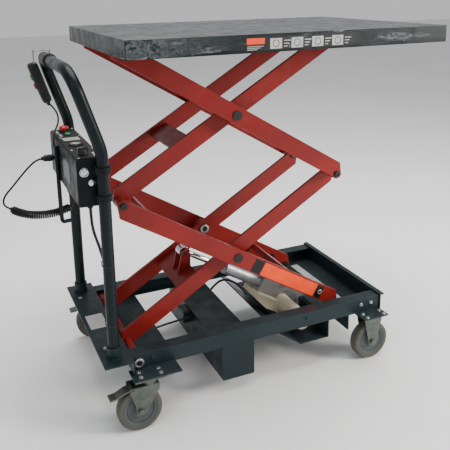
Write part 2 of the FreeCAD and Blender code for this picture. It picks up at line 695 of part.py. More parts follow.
box_block = soften("box_block", box("box_raw", ("box_left", "-box_half", "box_low"),
                                    ("box_right - box_left", "2 * box_half",
                                     "box_high - box_low")), 7, runs_along(Vector(0, 1, 0)))
box_space = box("box_space", ("box_left + 2.5", "-box_half + 2.5", "box_low + 2.5"),
                ("box_right - box_left - 5", "2 * box_half - 5", "box_high - box_low - 5"))
clamps = []
clamp_bores = []
for side, sign in SIDES.items():
    low, high = stations(side, "box_half - 1", "upright_y")
    for level in ("648", "722"):
        clamps.append(rod(f"clamp_{side}_{level}", "tube_radius + 5", "16",
                          ("upright_x", f"{sign} * upright_y", level), "Z"))
        clamps.append(box(f"clamp_web_{side}_{level}", ("upright_x - 9", low, level),
                          ("18", f"({high}) - ({low})", "16")))
    clamp_bores.append(rod(f"clamp_bore_{side}", "tube_radius + 0.05", "140",
                           ("upright_x", f"{sign} * upright_y", "635"), "Z"))
gland_holes = [rod("power_gland_hole", "7.05", "12", ("-90", "-165", "box_low - 4"), "Z"),
               rod("cord_gland_hole", "7.05", "12", ("-105", "80", "box_low - 4"), "Z")]
cut("control_box", fuse("box_and_clamps", [box_block] + clamps),
    [box_space] + clamp_bores + gland_holes + panel_holes("box_hole"))

panel_plate = soften("panel_plate", box("panel_raw", ("box_left + 5", "-box_half + 5", "box_high"),
                                        ("box_right - box_left - 10", "2 * box_half - 10",
                                         "2.5")), 4, runs_along(Vector(0, 0, 1)))
panel_rings = [on_panel("stop_ring", STOP, "13", "-1", "5"),
               on_panel("power_ring", POWER, "11", "-1", "3.5"),
               on_panel("knob_ring", KNOB, "14", "-1", "2")]
cut("control_panel", fuse("panel_and_rings", [panel_plate] + panel_rings),
    panel_holes("panel_hole"))
group("battery_gauge", [fuse("gauge_solid", [
    on_panel("gauge_bezel", GAUGE, "21", "0", "4"), on_panel("gauge_face", GAUGE, "18", "1", "4.5"),
])])
group("stop_button", [fuse("stop_solid", [
    on_panel("stop_stem", STOP, "8", "-8", "18"), on_panel("stop_head", STOP, "15", "8.5", "9"),
])])
group("power_button", [on_panel("power_solid", POWER, "8", "-8", "15")])
knob_parts = [on_panel("knob_stem", KNOB, "4", "-8", "11"), on_panel("knob_body", KNOB, "12", "1.5", "14"),
              box("knob_grip", ("-111", "-157.5", f"{PANEL_TOP} + 7"), ("28", "7", "14"))]
group("selector_knob", [fuse("knob_solid", knob_parts)])

socket_body = across("socket_body", "12", "-box_half - 9", "-box_half", "-105", "722")
socket_well = across("socket_well", "8.5", "-box_half - 10", "-box_half - 3", "-105", "722")
socket_core = across("socket_core", "3", "-box_half - 8", "-box_half - 2", "-105", "722")
socket_cap = across("socket_cap", "9", "-box_half - 7", "-box_half", "-88", "694")
group("charging_socket", [fuse("socket_solid", [cut("socket_cup", socket_body, [socket_well]),
                                                socket_core]), socket_cap])

gland_solids = []
for name, x, y, radius in (("power", "-90", "-165", "cable_radius"),
                           ("cord", "-105", "80", "cord_radius")):
    outer = fuse(name + "_gland_outer", [
        rod(name + "_gland_nut", "10", "8", (x, y, "box_low - 8"), "Z"),
        rod(name + "_gland_tip", "7.5", "6", (x, y, "box_low - 13"), "Z"),
        rod(name + "_gland_thread", "7", "8", (x, y, "box_low - 1"), "Z")])
    inner = rod(name + "_gland_bore", f"{radius} + 0.3", "40", (x, y, "box_low - 20"), "Z")
    gland_solids.append(cut(name + "_gland", outer, [inner]))
group("cable_glands", gland_solids)

# ---- leads and the handset's cord ----
POWER_LEAD = [("-90", "-165", "634"), ("-90", "-165", "600"), ("-88", "-169", "556"),
              ("-76", "-181", "510"), ("-64", "-189", "450"), ("-61", "-190", "375"),
              ("-63", "-190.5", "300"), ("-62", "-190", "230"), ("-62", "-188", "178"),
              ("-54", "-170", "145"), ("-24", "-128", "140.5"), ("14", "-84", "142"),
              ("60", "-44", "140.5"), ("118", "-16", "141.5"), ("180", "-6", "141"),
              ("222", "-4", "141.5"), ("251", "-4", "141.5")]
MOTOR_LEAD = [("351", "150", "132"), ("372", "152", "134"), ("392", "156", "149"),
              ("416", "158", "163"), ("440", "146", "166"), ("452", "120", "165.5"),
              ("457", "84", "166"), ("455", "48", "165"), ("451", "24", "165.5")]
group("control_cables", [swept("power_lead", POWER_LEAD, "cable_radius"),
                         swept("motor_lead", MOTOR_LEAD, "cable_radius")])

CORD_DROP = [("-105", "80", "634"), ("-105", "80", "612"), ("-101", "80", "590"),
             ("-91", "80", "571"), ("-86", "80", "558"), ("-90.8", "80", "548.9")]
CORD_RISE = [("-271.4", "80", "566.3"), ("-282", "80", "573"), ("-286", "80", "588"),
             ("-277", "80", "607"), ("-255", "80", "629"), ("-230", "80", "657"),
             ("-205", "80", "682"), ("-186", "80", "697"), ("-172.7", "80", "699.7")]
COIL = [("-92", "80", "547"), ("-112", "80", "539"), ("-141", "80", "532"),
        ("-178", "80", "531"), ("-214", "80", "536"), ("-246", "80", "549"),
        ("-271", "80", "566")]
CORD_LIFT = [("-130.1", "80", "700"), ("-129.5", "84", "713"), ("-130", "92", "731"),
             ("-129", "103", "752"), ("-119", "122", "770"), ("-104", "145", "786"),
             ("-100", "166", "807"), ("-109", "182", "827"), ("-122.4", "190", "842.2")]
group("cord_tail", [swept("cord_drop", CORD_DROP, "cord_radius"),
                    swept("cord_rise", CORD_RISE, "cord_radius")])
group("cord_coil", [swept("coil_tube", COIL, "coil_radius")])
group("cord_upper", [swept("cord_lift", CORD_LIFT, "cord_radius")])
group("cord_connector", [fuse("connector_solid", [
    rod("connector_body", "9.5", "26", ("-163", "80", "700"), "X"),
    rod("connector_plug", "7", "39", ("-172", "80", "700"), "X")])])
HOOK = [("-130.2", "58", "738"), ("-130.2", "58", "549"), ("-128", "64", "506"),
        ("-98", "94", "497")]
group("cord_hook", [swept("hook_rod", HOOK, "6", [60, 18])])

# ---- handset hung on the push bar, drawn along the leaning tube ----
LEANING = App.Rotation(Vector(0, -1, 0), size(LEAN))
HANDSET_AT = ("-142", "190", "903")
CASE_HALF = "15"
case_block = extrusion("case_block", "XZ_Plane", [
    (f"-{CASE_HALF}", "-57"), ("-10", "-62"), ("10", "-62"), (CASE_HALF, "-57"),
    (CASE_HALF, "56"), ("9", "62"), ("-11", "62"), (f"-{CASE_HALF}", "56"),
], "38", HANDSET_AT, LEANING)
bind(case_block, ".Placement.Rotation.Angle", LEAN)
hook_parts = [box("strap_back", ("-157", "173", "952"), ("3", "14", "47.5")),
              box("strap_top", ("-157", "173", "996.5"), ("50", "14", "3")),
              box("strap_lip", ("-110", "173", "984"), ("3", "14", "15.5"))]
OUTWARD = App.Rotation(Vector(0, -1, 0), size(f"90 + {LEAN}"))


def on_handset(name, radius, up, out, length):
    """A cylinder on the handset's front face: up along the case, starting out from its middle."""
    x = f"{HANDSET_AT[0]} - ({up}) * sin({LEAN}) - ({out}) * cos({LEAN})"
    z = f"{HANDSET_AT[2]} + ({up}) * cos({LEAN}) - ({out}) * sin({LEAN})"
    stub = doc.addObject("Part::Cylinder", name)
    bind(stub, "Radius", radius)
    bind(stub, "Height", length)
    place(stub, (x, HANDSET_AT[1], z), OUTWARD)
    bind(stub, ".Placement.Rotation.Angle", f"90 + {LEAN}")
    return stub


BUTTON_SPOTS = {"handset_up_button": "22", "handset_down_button": "-6"}
wells = [on_handset(name + "_well", "8.35", up, "8", "12") for name, up in BUTTON_SPOTS.items()]
cut("handset_case", fuse("case_and_strap", [case_block] + hook_parts), wells)
for name, up in BUTTON_SPOTS.items():
    group(name, [on_handset(name + "_solid", "8", up, "11", "8.5")])

# ---- casters ----
MOUNTS = {"handle": ("-30", "135", "232", "290"), "load": ("712", "90", "232", "284")}
mount_plates = []
for end, (x, length, low, high) in MOUNTS.items():
    for side in SIDES:
        low_y, high_y = stations(side, low, high)
        mount_plates.append(box(f"mount_{end}_{side}", (x, low_y, "rail_low"),
                                (length, f"({high_y}) - ({low_y})", "4")))
group("caster_mount_plates", mount_plates)

CASTER_TOP = "rail_low"
WHEEL_GAP = "wheel_width / 2 + 3"


def fork_cheeks(name, corners, hub_x, hub_y, pin_radius_text):
    """The two side plates of one fork with the wheel's axle between them."""
    cheeks = [extrusion(f"{name}_cheek_{spot}", "XZ_Plane", corners, "3",
                        ("0", f"{hub_y} + {sign} * ({WHEEL_GAP} + 1.5)", "0"))
              for spot, sign in (("near", "-1"), ("far", "1"))]
    axle = across(name + "_axle", pin_radius_text, f"{hub_y} - ({WHEEL_GAP} + 3)",
                  f"{hub_y} + {WHEEL_GAP} + 3", hub_x, "wheel_radius")
    heads = [across(f"{name}_nut_{spot}", "8.5", low, high, hub_x, "wheel_radius")
             for spot, low, high in (
                 ("near", f"{hub_y} - ({WHEEL_GAP} + 9)", f"{hub_y} - ({WHEEL_GAP} + 3)"),
                 ("far", f"{hub_y} + {WHEEL_GAP} + 3", f"{hub_y} + {WHEEL_GAP} + 9"))]
    return cheeks + [axle] + heads


AXLE = "6"
rigid = []
swivel_tops = []
for side, sign in SIDES.items():
    hub_y = f"({sign} * load_hub_y)"
    cheeks = fork_cheeks(f"rigid_{side}", [
        ("load_hub_x - 13", "50"), ("load_hub_x + 13", "50"), ("load_hub_x + 34", "151"),
        ("load_hub_x - 34", "151")], "load_hub_x", hub_y, AXLE)
    top = box(f"rigid_top_{side}", ("load_hub_x - 41", f"{hub_y} - 36", f"{CASTER_TOP} - 4"),
              ("82", "72", "4"))
    rigid.append(fuse(f"rigid_fork_{side}", cheeks + [top]))

    hub_y = f"({sign} * handle_hub_y)"
    axis_x = "(handle_hub_x + caster_trail)"
    swivel_tops.append(fuse(f"swivel_top_{side}", [
        box(f"swivel_plate_{side}", (f"{axis_x} - 44", f"{hub_y} - 26", f"{CASTER_TOP} - 4"),
            ("88", "52", "4")),
        rod(f"upper_race_{side}", "24", "9", (axis_x, hub_y, f"{CASTER_TOP} - 12"), "Z"),
        rod(f"king_pin_{side}", "6", "24", (axis_x, hub_y, f"{CASTER_TOP} - 27"), "Z"),
        rod(f"king_nut_{side}", "9", "4.5", (axis_x, hub_y, f"{CASTER_TOP} - 27.5"), "Z"),
    ]))

    fork_parts = fork_cheeks(f"swivel_{side}", [
        ("handle_hub_x - 13", "50"), ("handle_hub_x + 13", "50"), (f"{axis_x} + 24", "122"),
        (f"{axis_x} + 24", "137"), ("handle_hub_x - 28", "137"), ("handle_hub_x - 28", "121"),
        ("handle_hub_x - 15", "84")], "handle_hub_x", hub_y, AXLE)
    fork_parts.append(box(f"crown_{side}", (f"{axis_x} - 26", f"{hub_y} - ({WHEEL_GAP} + 1)",
                                            "133"), ("50", f"2 * ({WHEEL_GAP} + 1)", "4")))
    fork_parts.append(rod(f"lower_race_{side}", "22", "9", (axis_x, hub_y, "133.5"), "Z"))
    fork_bores = [rod(f"king_bore_{side}", "6.05", "20", (axis_x, hub_y, "128"), "Z"),
                  across(f"pedal_bore_{side}", "3.05", f"{hub_y} - 30", f"{hub_y} + 30",
                         "handle_hub_x - 20", "130")]
    cut(f"swivel_fork_{side}", fuse(f"fork_body_{side}", fork_parts), fork_bores)

    pedal_sheet = extrusion(f"pedal_sheet_{side}", "XZ_Plane", [
        ("3", "-3"), ("3", "3"), ("-20", "-3"), ("-44", "-14"), ("-62", "-16"), ("-62", "-20"),
        ("-44", "-18.5"), ("-20", "-7.5")], "30", ("handle_hub_x - 20", hub_y, "130"))
    pedal_pin = across(f"pedal_pin_{side}", "3", f"{hub_y} - 24", f"{hub_y} + 24",
                       "handle_hub_x - 20", "130")
    fuse(f"brake_pedal_{side}", [pedal_sheet, pedal_pin])
group("rigid_forks", rigid)
group("swivel_plates", swivel_tops)

WHEELS = {
    "wheel_handle_near": ("handle_hub_x", "-handle_hub_y"),
    "wheel_handle_far": ("handle_hub_x", "handle_hub_y"),
    "wheel_load_near": ("load_hub_x", "-load_hub_y"),
    "wheel_load_far": ("load_hub_x", "load_hub_y"),
}
for name, (x, y) in WHEELS.items():
    low = f"{y} - wheel_width / 2"
    high = f"{y} + wheel_width / 2"
    tread = across(name + "_tread", "wheel_radius", low, high, x, "wheel_radius")
    round_tread = soften(name + "_round", tread, 4, lambda edge: isinstance(edge.Curve, Part.Circle))
    boss = across(name + "_boss", "15", f"{y} - ({WHEEL_GAP}) + 0.5", f"{y} + {WHEEL_GAP} - 0.5",
                  x, "wheel_radius")
    hollows = []
    for spot, start in (("near", f"{low} - 1"), ("far", f"{high} - 6")):
        ring = across(f"{name}_dish_{spot}", "44", start, f"{start} + 7", x, "wheel_radius")
        core = across(f"{name}_core_{spot}", "18", f"{start} - 1", f"{start} + 8", x, "wheel_radius")
        hollows.append(cut(f"{name}_groove_{spot}", ring, [core]))
    bore_hole = across(name + "_bore", f"{AXLE} + 0.05", f"{y} - 40", f"{y} + 40", x, "wheel_radius")
    cut(name, fuse(name + "_solid", [round_tread, boss]), hollows + [bore_hole])

# ---- bolts that hold the rails, mounting plates and handle plate ----
bolts = []
for side in SIDES:
    for x in ("40", "535", "735", "772"):
        low, high = stations(side, "rail_y", "rail_y + 4")
        bolts.append(across(f"rail_bolt_{side}_{x}", "6.5", low, high, x, "182"))
    for x in ("-8", "48", "728", "790"):
        for y in ("252", "276"):
            low_y = stations(side, y, y)[0]
            bolts.append(rod(f"plate_bolt_{side}_{x}_{y}".replace("-", "m"), "6.5", "4",
                             (x, low_y, "rail_low + 4"), "Z"))
    low_y = stations(side, "164", "164")[0]
    bolts.append(rod(f"handle_bolt_{side}", "6.5", "4", ("-75", low_y, "rail_high"), "Z"))
group("frame_fasteners", bolts)

# ---- checks and export ----
NODES = """
near_side_rail far_side_rail handle_end_floor load_end_floor end_plate handle_plate
actuator_trough clevis_bracket battery_box handle_bar control_box control_panel battery_gauge
charging_socket cable_glands control_cables cord_hook handset_case cord_upper cord_connector
cord_tail cord_coil caster_mount_plates frame_fasteners pivot_shaft rigid_forks swivel_plates
stop_button power_button selector_knob handset_up_button handset_down_button
swivel_fork_near swivel_fork_far brake_pedal_near brake_pedal_far
wheel_handle_near wheel_handle_far wheel_load_near wheel_load_far
lower_inner_arms pivot_tube lift_yoke lower_inner_pins
lower_outer_arms lower_outer_ties lower_outer_pins lower_rollers
upper_inner_arms upper_inner_plate upper_inner_pins upper_rollers
upper_outer_arms upper_outer_pins actuator_tube actuator_motor actuator_rod
table_top table_channels table_film
""".split()

doc.recompute()
for item in doc.Objects:
    if "Invalid" in item.State or "Error" in item.State:
        raise RuntimeError(f"{item.Name} did not compute: {item.State}")

os.makedirs("parts", exist_ok=True)
whole = App.BoundBox()
for node in NODES:
    item = doc.getObject(node)
    item.Label = node
    shape = item.Shape
    if shape.isNull() or not shape.isValid() or not shape.Solids:
        raise RuntimeError(f"{node} has no valid solid")
    whole.add(shape.BoundBox)
    shape.exportStep(f"parts/{node}.step")
print(f"{len(NODES)} nodes, x {whole.XMin:.2f} to {whole.XMax:.2f}, y {whole.YMin:.2f} to"
      f" {whole.YMax:.2f}, z {whole.ZMin:.2f} to {whole.ZMax:.2f}")
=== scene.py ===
import json
import math

import bmesh
import bpy
from mathutils import Matrix, Vector, noise


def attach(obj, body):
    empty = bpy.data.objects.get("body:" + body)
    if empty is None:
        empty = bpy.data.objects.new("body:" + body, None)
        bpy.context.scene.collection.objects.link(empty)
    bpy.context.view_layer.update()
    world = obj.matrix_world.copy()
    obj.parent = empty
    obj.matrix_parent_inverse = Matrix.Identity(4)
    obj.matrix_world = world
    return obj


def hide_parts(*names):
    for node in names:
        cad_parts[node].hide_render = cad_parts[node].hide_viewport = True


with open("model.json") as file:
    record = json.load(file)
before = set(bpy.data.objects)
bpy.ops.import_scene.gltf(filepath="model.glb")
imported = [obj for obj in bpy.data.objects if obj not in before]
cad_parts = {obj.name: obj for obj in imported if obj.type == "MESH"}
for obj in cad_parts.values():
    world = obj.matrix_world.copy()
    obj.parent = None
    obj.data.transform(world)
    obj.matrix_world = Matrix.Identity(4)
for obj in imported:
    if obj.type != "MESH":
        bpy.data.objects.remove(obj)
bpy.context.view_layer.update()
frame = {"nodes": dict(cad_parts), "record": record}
nodes = frame["nodes"]

# Places are written in millimetres, x from the fixed lower pivot and z from the floor, as in
# the CAD source. ORIGIN_X is how far the shared frame's origin lies along x from that pivot.
ORIGIN_X = 373.58

# ---- the linkage's main sizes, as in the CAD source ----
ARM_PITCH = 800
PIVOT_HEIGHT = 176
REST_ANGLE = math.radians(32.5)
PIVOT_OFFSET = 11
BAR_ANGLE = REST_ANGLE - math.asin(2 * PIVOT_OFFSET / ARM_PITCH)
REACH = ARM_PITCH * math.cos(REST_ANGLE)
RISE = ARM_PITCH * math.sin(REST_ANGLE)
CROSS = (REACH / 2, PIVOT_HEIGHT + RISE / 2)
UPPER_CROSS = (REACH / 2, PIVOT_HEIGHT + 1.5 * RISE)
KNEE_HEIGHT = PIVOT_HEIGHT + RISE
BOLT_ALONG = 330
WHEEL_RADIUS = 62.5
TABLE_TOP = 1056.58
TABLE_FRONT = -325
PANEL = 757.5
DECK_TOP = 159
HANDLE_PLATE_TOP = 201


def at(x, y, z):
    return Vector((x - ORIGIN_X, y, z)) / 1000


# ---- camera, light and floor ----
def make_camera(x, y, z, yaw, pitch, roll, focal, shift_x, shift_y):
    """Yaw 0 looks along +Y and turns towards +X; pitch looks down; focal is in image widths."""
    data = bpy.data.cameras.new("camera")
    data.sensor_width = 36
    data.lens = 36 * focal
    data.shift_x = shift_x
    data.shift_y = shift_y
    camera = bpy.data.objects.new("camera", data)
    turn = Matrix.Rotation(math.radians(-yaw), 4, "Z")
    tip = Matrix.Rotation(math.radians(90 - pitch), 4, "X")
    lean = Matrix.Rotation(math.radians(-roll), 4, "Z")
    camera.matrix_world = Matrix.Translation(at(x, y, z)) @ turn @ tip @ lean
    bpy.context.collection.objects.link(camera)
    bpy.context.scene.camera = camera


def make_light(name, place, aim, size, power, colour):
    data = bpy.data.lights.new(name, "AREA")
    data.shape = "DISK"
    data.size = size
    data.energy = power
    data.color = colour
    lamp = bpy.data.objects.new(name, data)
    lamp.location = Vector(place)
    lamp.rotation_mode = "QUATERNION"
    lamp.rotation_quaternion = (Vector(aim) - Vector(place)).to_track_quat("-Z", "Y")
    bpy.context.collection.objects.link(lamp)


make_camera(-410.3, -1743.7, 1173.1, 23.87, 14.31, 0.80, 638 / 450, 0.006, -0.17)
make_light("key", (2.5, -2.0, 1.6), (0.3, 0, 0.5), 1.0, 120, (1.0, 0.95, 0.88))
make_light("top", (0.3, 0.1, 3.6), (0, 0, 0.0), 3.2, 190, (1.0, 1.0, 1.0))
make_light("fill", (-2.8, -2.4, 2.0), (0, 0, 0.5), 2.2, 24, (0.93, 0.97, 1.0))
world = bpy.data.worlds.new("studio")
bpy.context.scene.world = world
world.use_nodes = True
world.node_tree.nodes["Background"].inputs["Color"].default_value = (1.0, 1.0, 1.0, 1)
world.node_tree.nodes["Background"].inputs["Strength"].default_value = 0.62


# ---- materials ----
class Shader:
    """A Principled material with short calls for the nodes that feed it."""

    def __init__(self, name, **values):
        self.material = bpy.data.materials.new(name)
        self.material.use_nodes = True
        self.tree = self.material.node_tree
        self.main = self.tree.nodes["Principled BSDF"]
        for key, value in values.items():
            socket = key.replace("_", " ")
            self.main.inputs[socket].default_value = value
        self.coords = self.tree.nodes.new("ShaderNodeTexCoord").outputs["Object"]

    def node(self, kind, links=(), **settings):
        made = self.tree.nodes.new("ShaderNode" + kind)
        for key, value in settings.items():
            setattr(made, key, value)
        for socket, value in dict(links).items():
            if isinstance(value, bpy.types.NodeSocket):
                self.tree.links.new(value, made.inputs[socket])
            else:
                made.inputs[socket].default_value = value
        return made

    def noise(self, scale, detail=3.0, rough=0.55, stretch=None):
        vector = self.coords
        if stretch:
            vector = self.node("Mapping", {"Vector": vector, "Scale": stretch}).outputs[0]
        made = self.node("TexNoise", {"Vector": vector, "Scale": scale, "Detail": detail,
                                      "Roughness": rough})
        return made.outputs["Fac"]

    def ramp(self, value, stops, smooth=True):
        made = self.node("ValToRGB", {"Fac": value})
        ramp = made.color_ramp
        ramp.interpolation = "EASE" if smooth else "CONSTANT"
        while len(ramp.elements) < len(stops):
            ramp.elements.new(0.5)
        for element, (position, colour) in zip(ramp.elements, stops):
            element.position = position
            shade = (colour,) * 3 if isinstance(colour, float) else tuple(colour)
            element.color = (*shade, 1)
        return made.outputs["Color"]

    def mix(self, factor, low, high, mode="MIX"):
        made = self.node("MixRGB", blend_type=mode)
        for socket, value in (("Fac", factor), ("Color1", low), ("Color2", high)):
            if isinstance(value, bpy.types.NodeSocket):
                self.tree.links.new(value, made.inputs[socket])
            elif socket == "Fac":
                made.inputs[socket].default_value = value
            else:
                made.inputs[socket].default_value = (*value, 1)
        return made.outputs["Color"]

    def math(self, operation, first, second=0.5, clamp=False):
        made = self.node("Math", {0: first, 1: second}, operation=operation, use_clamp=clamp)
        return made.outputs[0]

    def edge(self, radius, low, high):
        """A mask that is 1 on sharp outer edges, and the rounded normal that finds them."""
        soft = self.node("Bevel", {"Radius": radius}, samples=4).outputs[0]
        flat = self.node("NewGeometry").outputs["Normal"]
        dot = self.node("VectorMath", {0: soft, 1: flat}, operation="DOT_PRODUCT")
        mask = self.node("MapRange", {"Value": dot.outputs["Value"], "From Min": high,
                                      "From Max": low, "To Min": 0.0, "To Max": 1.0})
        return mask.outputs[0], soft

    def upward(self, low=0.6, high=0.98):
        """A mask that is 1 on faces that look straight up."""
        normal = self.node("NewGeometry").outputs["Normal"]
        height = self.node("SeparateXYZ", {0: normal}).outputs["Z"]
        mask = self.node("MapRange", {"Value": height, "From Min": low, "From Max": high})
        return mask.outputs[0]

    def set(self, socket, value):
        self.tree.links.new(value, self.main.inputs[socket])

    def bump(self, heights, normal=None):
        """Bumps in turn: (height, strength, distance in metres)."""
        for height, strength, distance in heights:
            links = {"Height": height, "Strength": strength, "Distance": distance}
            if normal is not None:
                links["Normal"] = normal
            normal = self.node("Bump", links).outputs[0]
        self.set("Normal", normal)


def enamel(name, main, shade, dust, roughness=0.34, wear=0.35, chip=(0.30, 0.28, 0.26),
           shine=0.22, coat=0.0):
    """Brushed or sprayed enamel over steel: uneven colour, orange peel, worn edges and dust."""
    s = Shader(name, Roughness=roughness, Specular_IOR_Level=shine, Coat_Weight=coat,
               Coat_Roughness=0.07)
    cloud = s.ramp(s.noise(4.5, 5.0), [(0.32, main), (0.72, shade)])
    speck = s.ramp(s.noise(95.0, 4.0, 0.7), [(0.62, 0.0), (0.74, 1.0)])
    colour = s.mix(s.math("MULTIPLY", speck, 0.18), cloud, [c * 0.55 for c in main])
    mask, soft = s.edge(0.0016, 0.86, 0.995)
    broken = s.ramp(s.noise(60.0, 6.0, 0.75), [(0.42, 0.0), (0.60, 1.0)])
    worn = s.math("MULTIPLY", s.math("MULTIPLY", mask, broken), wear)
    colour = s.mix(worn, colour, chip)
    drift = s.ramp(s.noise(16.0, 6.0, 0.65), [(0.38, 0.0), (0.78, 1.0)])
    dusty = s.math("MULTIPLY", s.math("MULTIPLY", s.upward(), drift), 0.16)
    colour = s.mix(dusty, colour, dust)
    s.set("Base Color", colour)
    gloss = s.ramp(s.noise(26.0, 5.0), [(0.3, roughness - 0.08), (0.8, roughness + 0.18)])
    s.set("Roughness", s.math("ADD", gloss, s.math("MULTIPLY", dusty, 0.4), True))
    s.bump([(s.noise(330.0, 2.0), 0.10, 0.0006), (s.noise(22.0, 3.0), 0.05, 0.002)], soft)
    return s.material


def plated(name, colour, roughness, grain=(1.0, 1.0, 1.0), stain=0.25):
    s = Shader(name, Metallic=1.0, Roughness=roughness)
    tint = s.ramp(s.noise(30.0, 6.0, 0.7), [(0.3, colour), (0.75, [c * 0.72 for c in colour])])
    spots = s.ramp(s.noise(140.0, 3.0), [(0.60, 0.0), (0.75, 1.0)])
    s.set("Base Color", s.mix(s.math("MULTIPLY", spots, stain), tint, (0.30, 0.27, 0.22)))
    streak = s.noise(120.0, 4.0, 0.6, grain)
    s.set("Roughness", s.ramp(streak, [(0.3, roughness), (0.8, min(1.0, roughness + 0.22))]))
    _, soft = s.edge(0.0008, 0.9, 0.995)
    s.bump([(streak, 0.08, 0.0003)], soft)
    return s.material


def moulded(name, colour, roughness, pebble=900.0, depth=0.25, coat=0.0):
    s = Shader(name, Roughness=roughness, Specular_IOR_Level=0.3, Coat_Weight=coat,
               Coat_Roughness=0.1)
    shade = [c * 0.78 for c in colour]
    s.set("Base Color", s.ramp(s.noise(18.0, 5.0), [(0.3, colour), (0.8, shade)]))
    rubbed = min(1.0, roughness + 0.15)
    s.set("Roughness", s.ramp(s.noise(45.0, 4.0), [(0.3, roughness), (0.8, rubbed)]))
    _, soft = s.edge(0.0009, 0.9, 0.995)
    s.bump([(s.noise(pebble, 2.0), depth, 0.0004)], soft)
    return s.material


FRAME_PAINT = enamel("frame_enamel", (0.0062, 0.0145, 0.0175), (0.0105, 0.0215, 0.025),
                     (0.085, 0.092, 0.088), roughness=0.40, chip=(0.09, 0.10, 0.10))
HANDLE_PAINT = enamel("handle_enamel", (0.0035, 0.0070, 0.0085), (0.0055, 0.0105, 0.0125),
                      (0.05, 0.055, 0.05), roughness=0.30, wear=0.15, shine=0.16)
TABLE_PAINT = enamel("table_enamel", (0.0045, 0.0085, 0.010), (0.007, 0.012, 0.014),
                     (0.04, 0.042, 0.042), roughness=0.34, wear=0.1, chip=(0.06, 0.065, 0.065),
                     shine=0.2, coat=0.2)
ARM_PAINT = enamel("arm_enamel", (0.22, 0.0135, 0.0105), (0.155, 0.0105, 0.0095),
                   (0.17, 0.05, 0.04), roughness=0.36, chip=(0.12, 0.03, 0.02))
ZINC = plated("bright_zinc", (0.42, 0.43, 0.42), 0.34)
CHROME = plated("polished_chrome", (0.72, 0.72, 0.73), 0.12, stain=0.05)
CASTER_STEEL = plated("caster_steel", (0.135, 0.150, 0.132), 0.42, stain=0.45)
STEEL_BLACK = moulded("black_oxide", (0.012, 0.012, 0.014), 0.42, 500.0, 0.10)
ALUMINIUM = plated("grey_anodised", (0.42, 0.43, 0.45), 0.36, (0.1, 1.0, 1.0), 0.08)
CREAM = enamel("cream_enamel", (0.56, 0.50, 0.36), (0.48, 0.43, 0.31), (0.52, 0.48, 0.40),
               roughness=0.40, wear=0.3, chip=(0.25, 0.21, 0.15))
BLACK_PLASTIC = moulded("black_plastic", (0.0055, 0.0060, 0.0065), 0.42)
BOX_BLACK = enamel("box_enamel", (0.0035, 0.0045, 0.0052), (0.0055, 0.0070, 0.0078),
                   (0.04, 0.043, 0.043), roughness=0.42, wear=0.2, chip=(0.06, 0.06, 0.06),
                   shine=0.14)
GREY_PLASTIC = moulded("grey_panel", (0.014, 0.015, 0.016), 0.50, 700.0, 0.4)
RED_PLASTIC = moulded("red_plastic", (0.55, 0.012, 0.010), 0.22, 400.0, 0.05, 0.5)
GREEN_PLASTIC = moulded("green_plastic", (0.012, 0.30, 0.08), 0.24, 400.0, 0.05, 0.5)
YELLOW_PLASTIC = moulded("yellow_scale", (0.65, 0.52, 0.06), 0.3, 400.0, 0.05, 0.4)
WHITE_PLASTIC = moulded("white_plate", (0.46, 0.46, 0.45), 0.38, 300.0, 0.05, 0.2)
BLUE_PLASTIC = moulded("blue_plate", (0.016, 0.030, 0.046), 0.38, 300.0, 0.08, 0.2)
ORANGE_TAPE = moulded("orange_tape", (0.90, 0.060, 0.004), 0.50, 260.0, 0.15)
TREAD = moulded("wheel_tread", (0.078, 0.074, 0.060), 0.62, 240.0, 0.35)
WHEEL_CORE = moulded("wheel_core", (0.060, 0.070, 0.072), 0.50, 500.0, 0.25)
CORD_JACKET = moulded("cord_jacket", (0.0055, 0.0055, 0.006), 0.36, 700.0, 0.12)
RUBBER = moulded("black_rubber", (0.016, 0.016, 0.016), 0.70, 300.0, 0.25)

film = Shader("clear_film", Base_Color=(0.55, 0.60, 0.63, 1), Roughness=0.12, Coat_Weight=1.0,
              Coat_Roughness=0.05, IOR=1.5)
creases = film.ramp(film.noise(15.0, 9.0, 0.76, (0.45, 1.5, 2.0)),
                    [(0.52, 0.012), (0.600, 0.05), (0.622, 0.30), (0.645, 0.03)])
corner = film.node("VectorMath", {0: film.coords, 1: at(-20, -325, 1040)}, operation="DISTANCE")
near_corner = film.node("MapRange", {"Value": corner.outputs["Value"], "From Min": 0.04,
                                     "From Max": 0.32, "To Min": 1.0, "To Max": 0.0}).outputs[0]
crinkle = film.ramp(film.noise(34.0, 8.0, 0.78, (0.8, 1.2, 1.6)),
                    [(0.47, 0.0), (0.50, 0.30), (0.515, 0.05), (0.575, 0.04), (0.60, 0.26),
                     (0.62, 0.02)])
crumpled = film.math("MULTIPLY", crinkle, near_corner)
film.set("Alpha", film.math("MAXIMUM", creases, crumpled))
film.bump([(film.noise(20.0, 5.0, 0.62), 0.75, 0.006), (film.noise(110.0, 3.0), 0.25, 0.0016)])
FILM = film.material

MATERIAL_OF = {
    "frame_paint": FRAME_PAINT, "arm_paint": ARM_PAINT, "zinc": ZINC, "chrome_part": CHROME,
    "blackened": STEEL_BLACK, "alu": ALUMINIUM, "cream": CREAM, "black_plastic": BLACK_PLASTIC,
    "grey_plastic": GREY_PLASTIC, "red_plastic": RED_PLASTIC, "green_plastic": GREEN_PLASTIC,
    "gauge_face": YELLOW_PLASTIC, "wheel_tread": TREAD, "cord_jacket": CORD_JACKET, "film": FILM,
}
for part in frame["record"]["subparts"]:
    target = nodes[part["node"]]
    target.data.materials.clear()
    target.data.materials.append(MATERIAL_OF[part["material_slot"]])
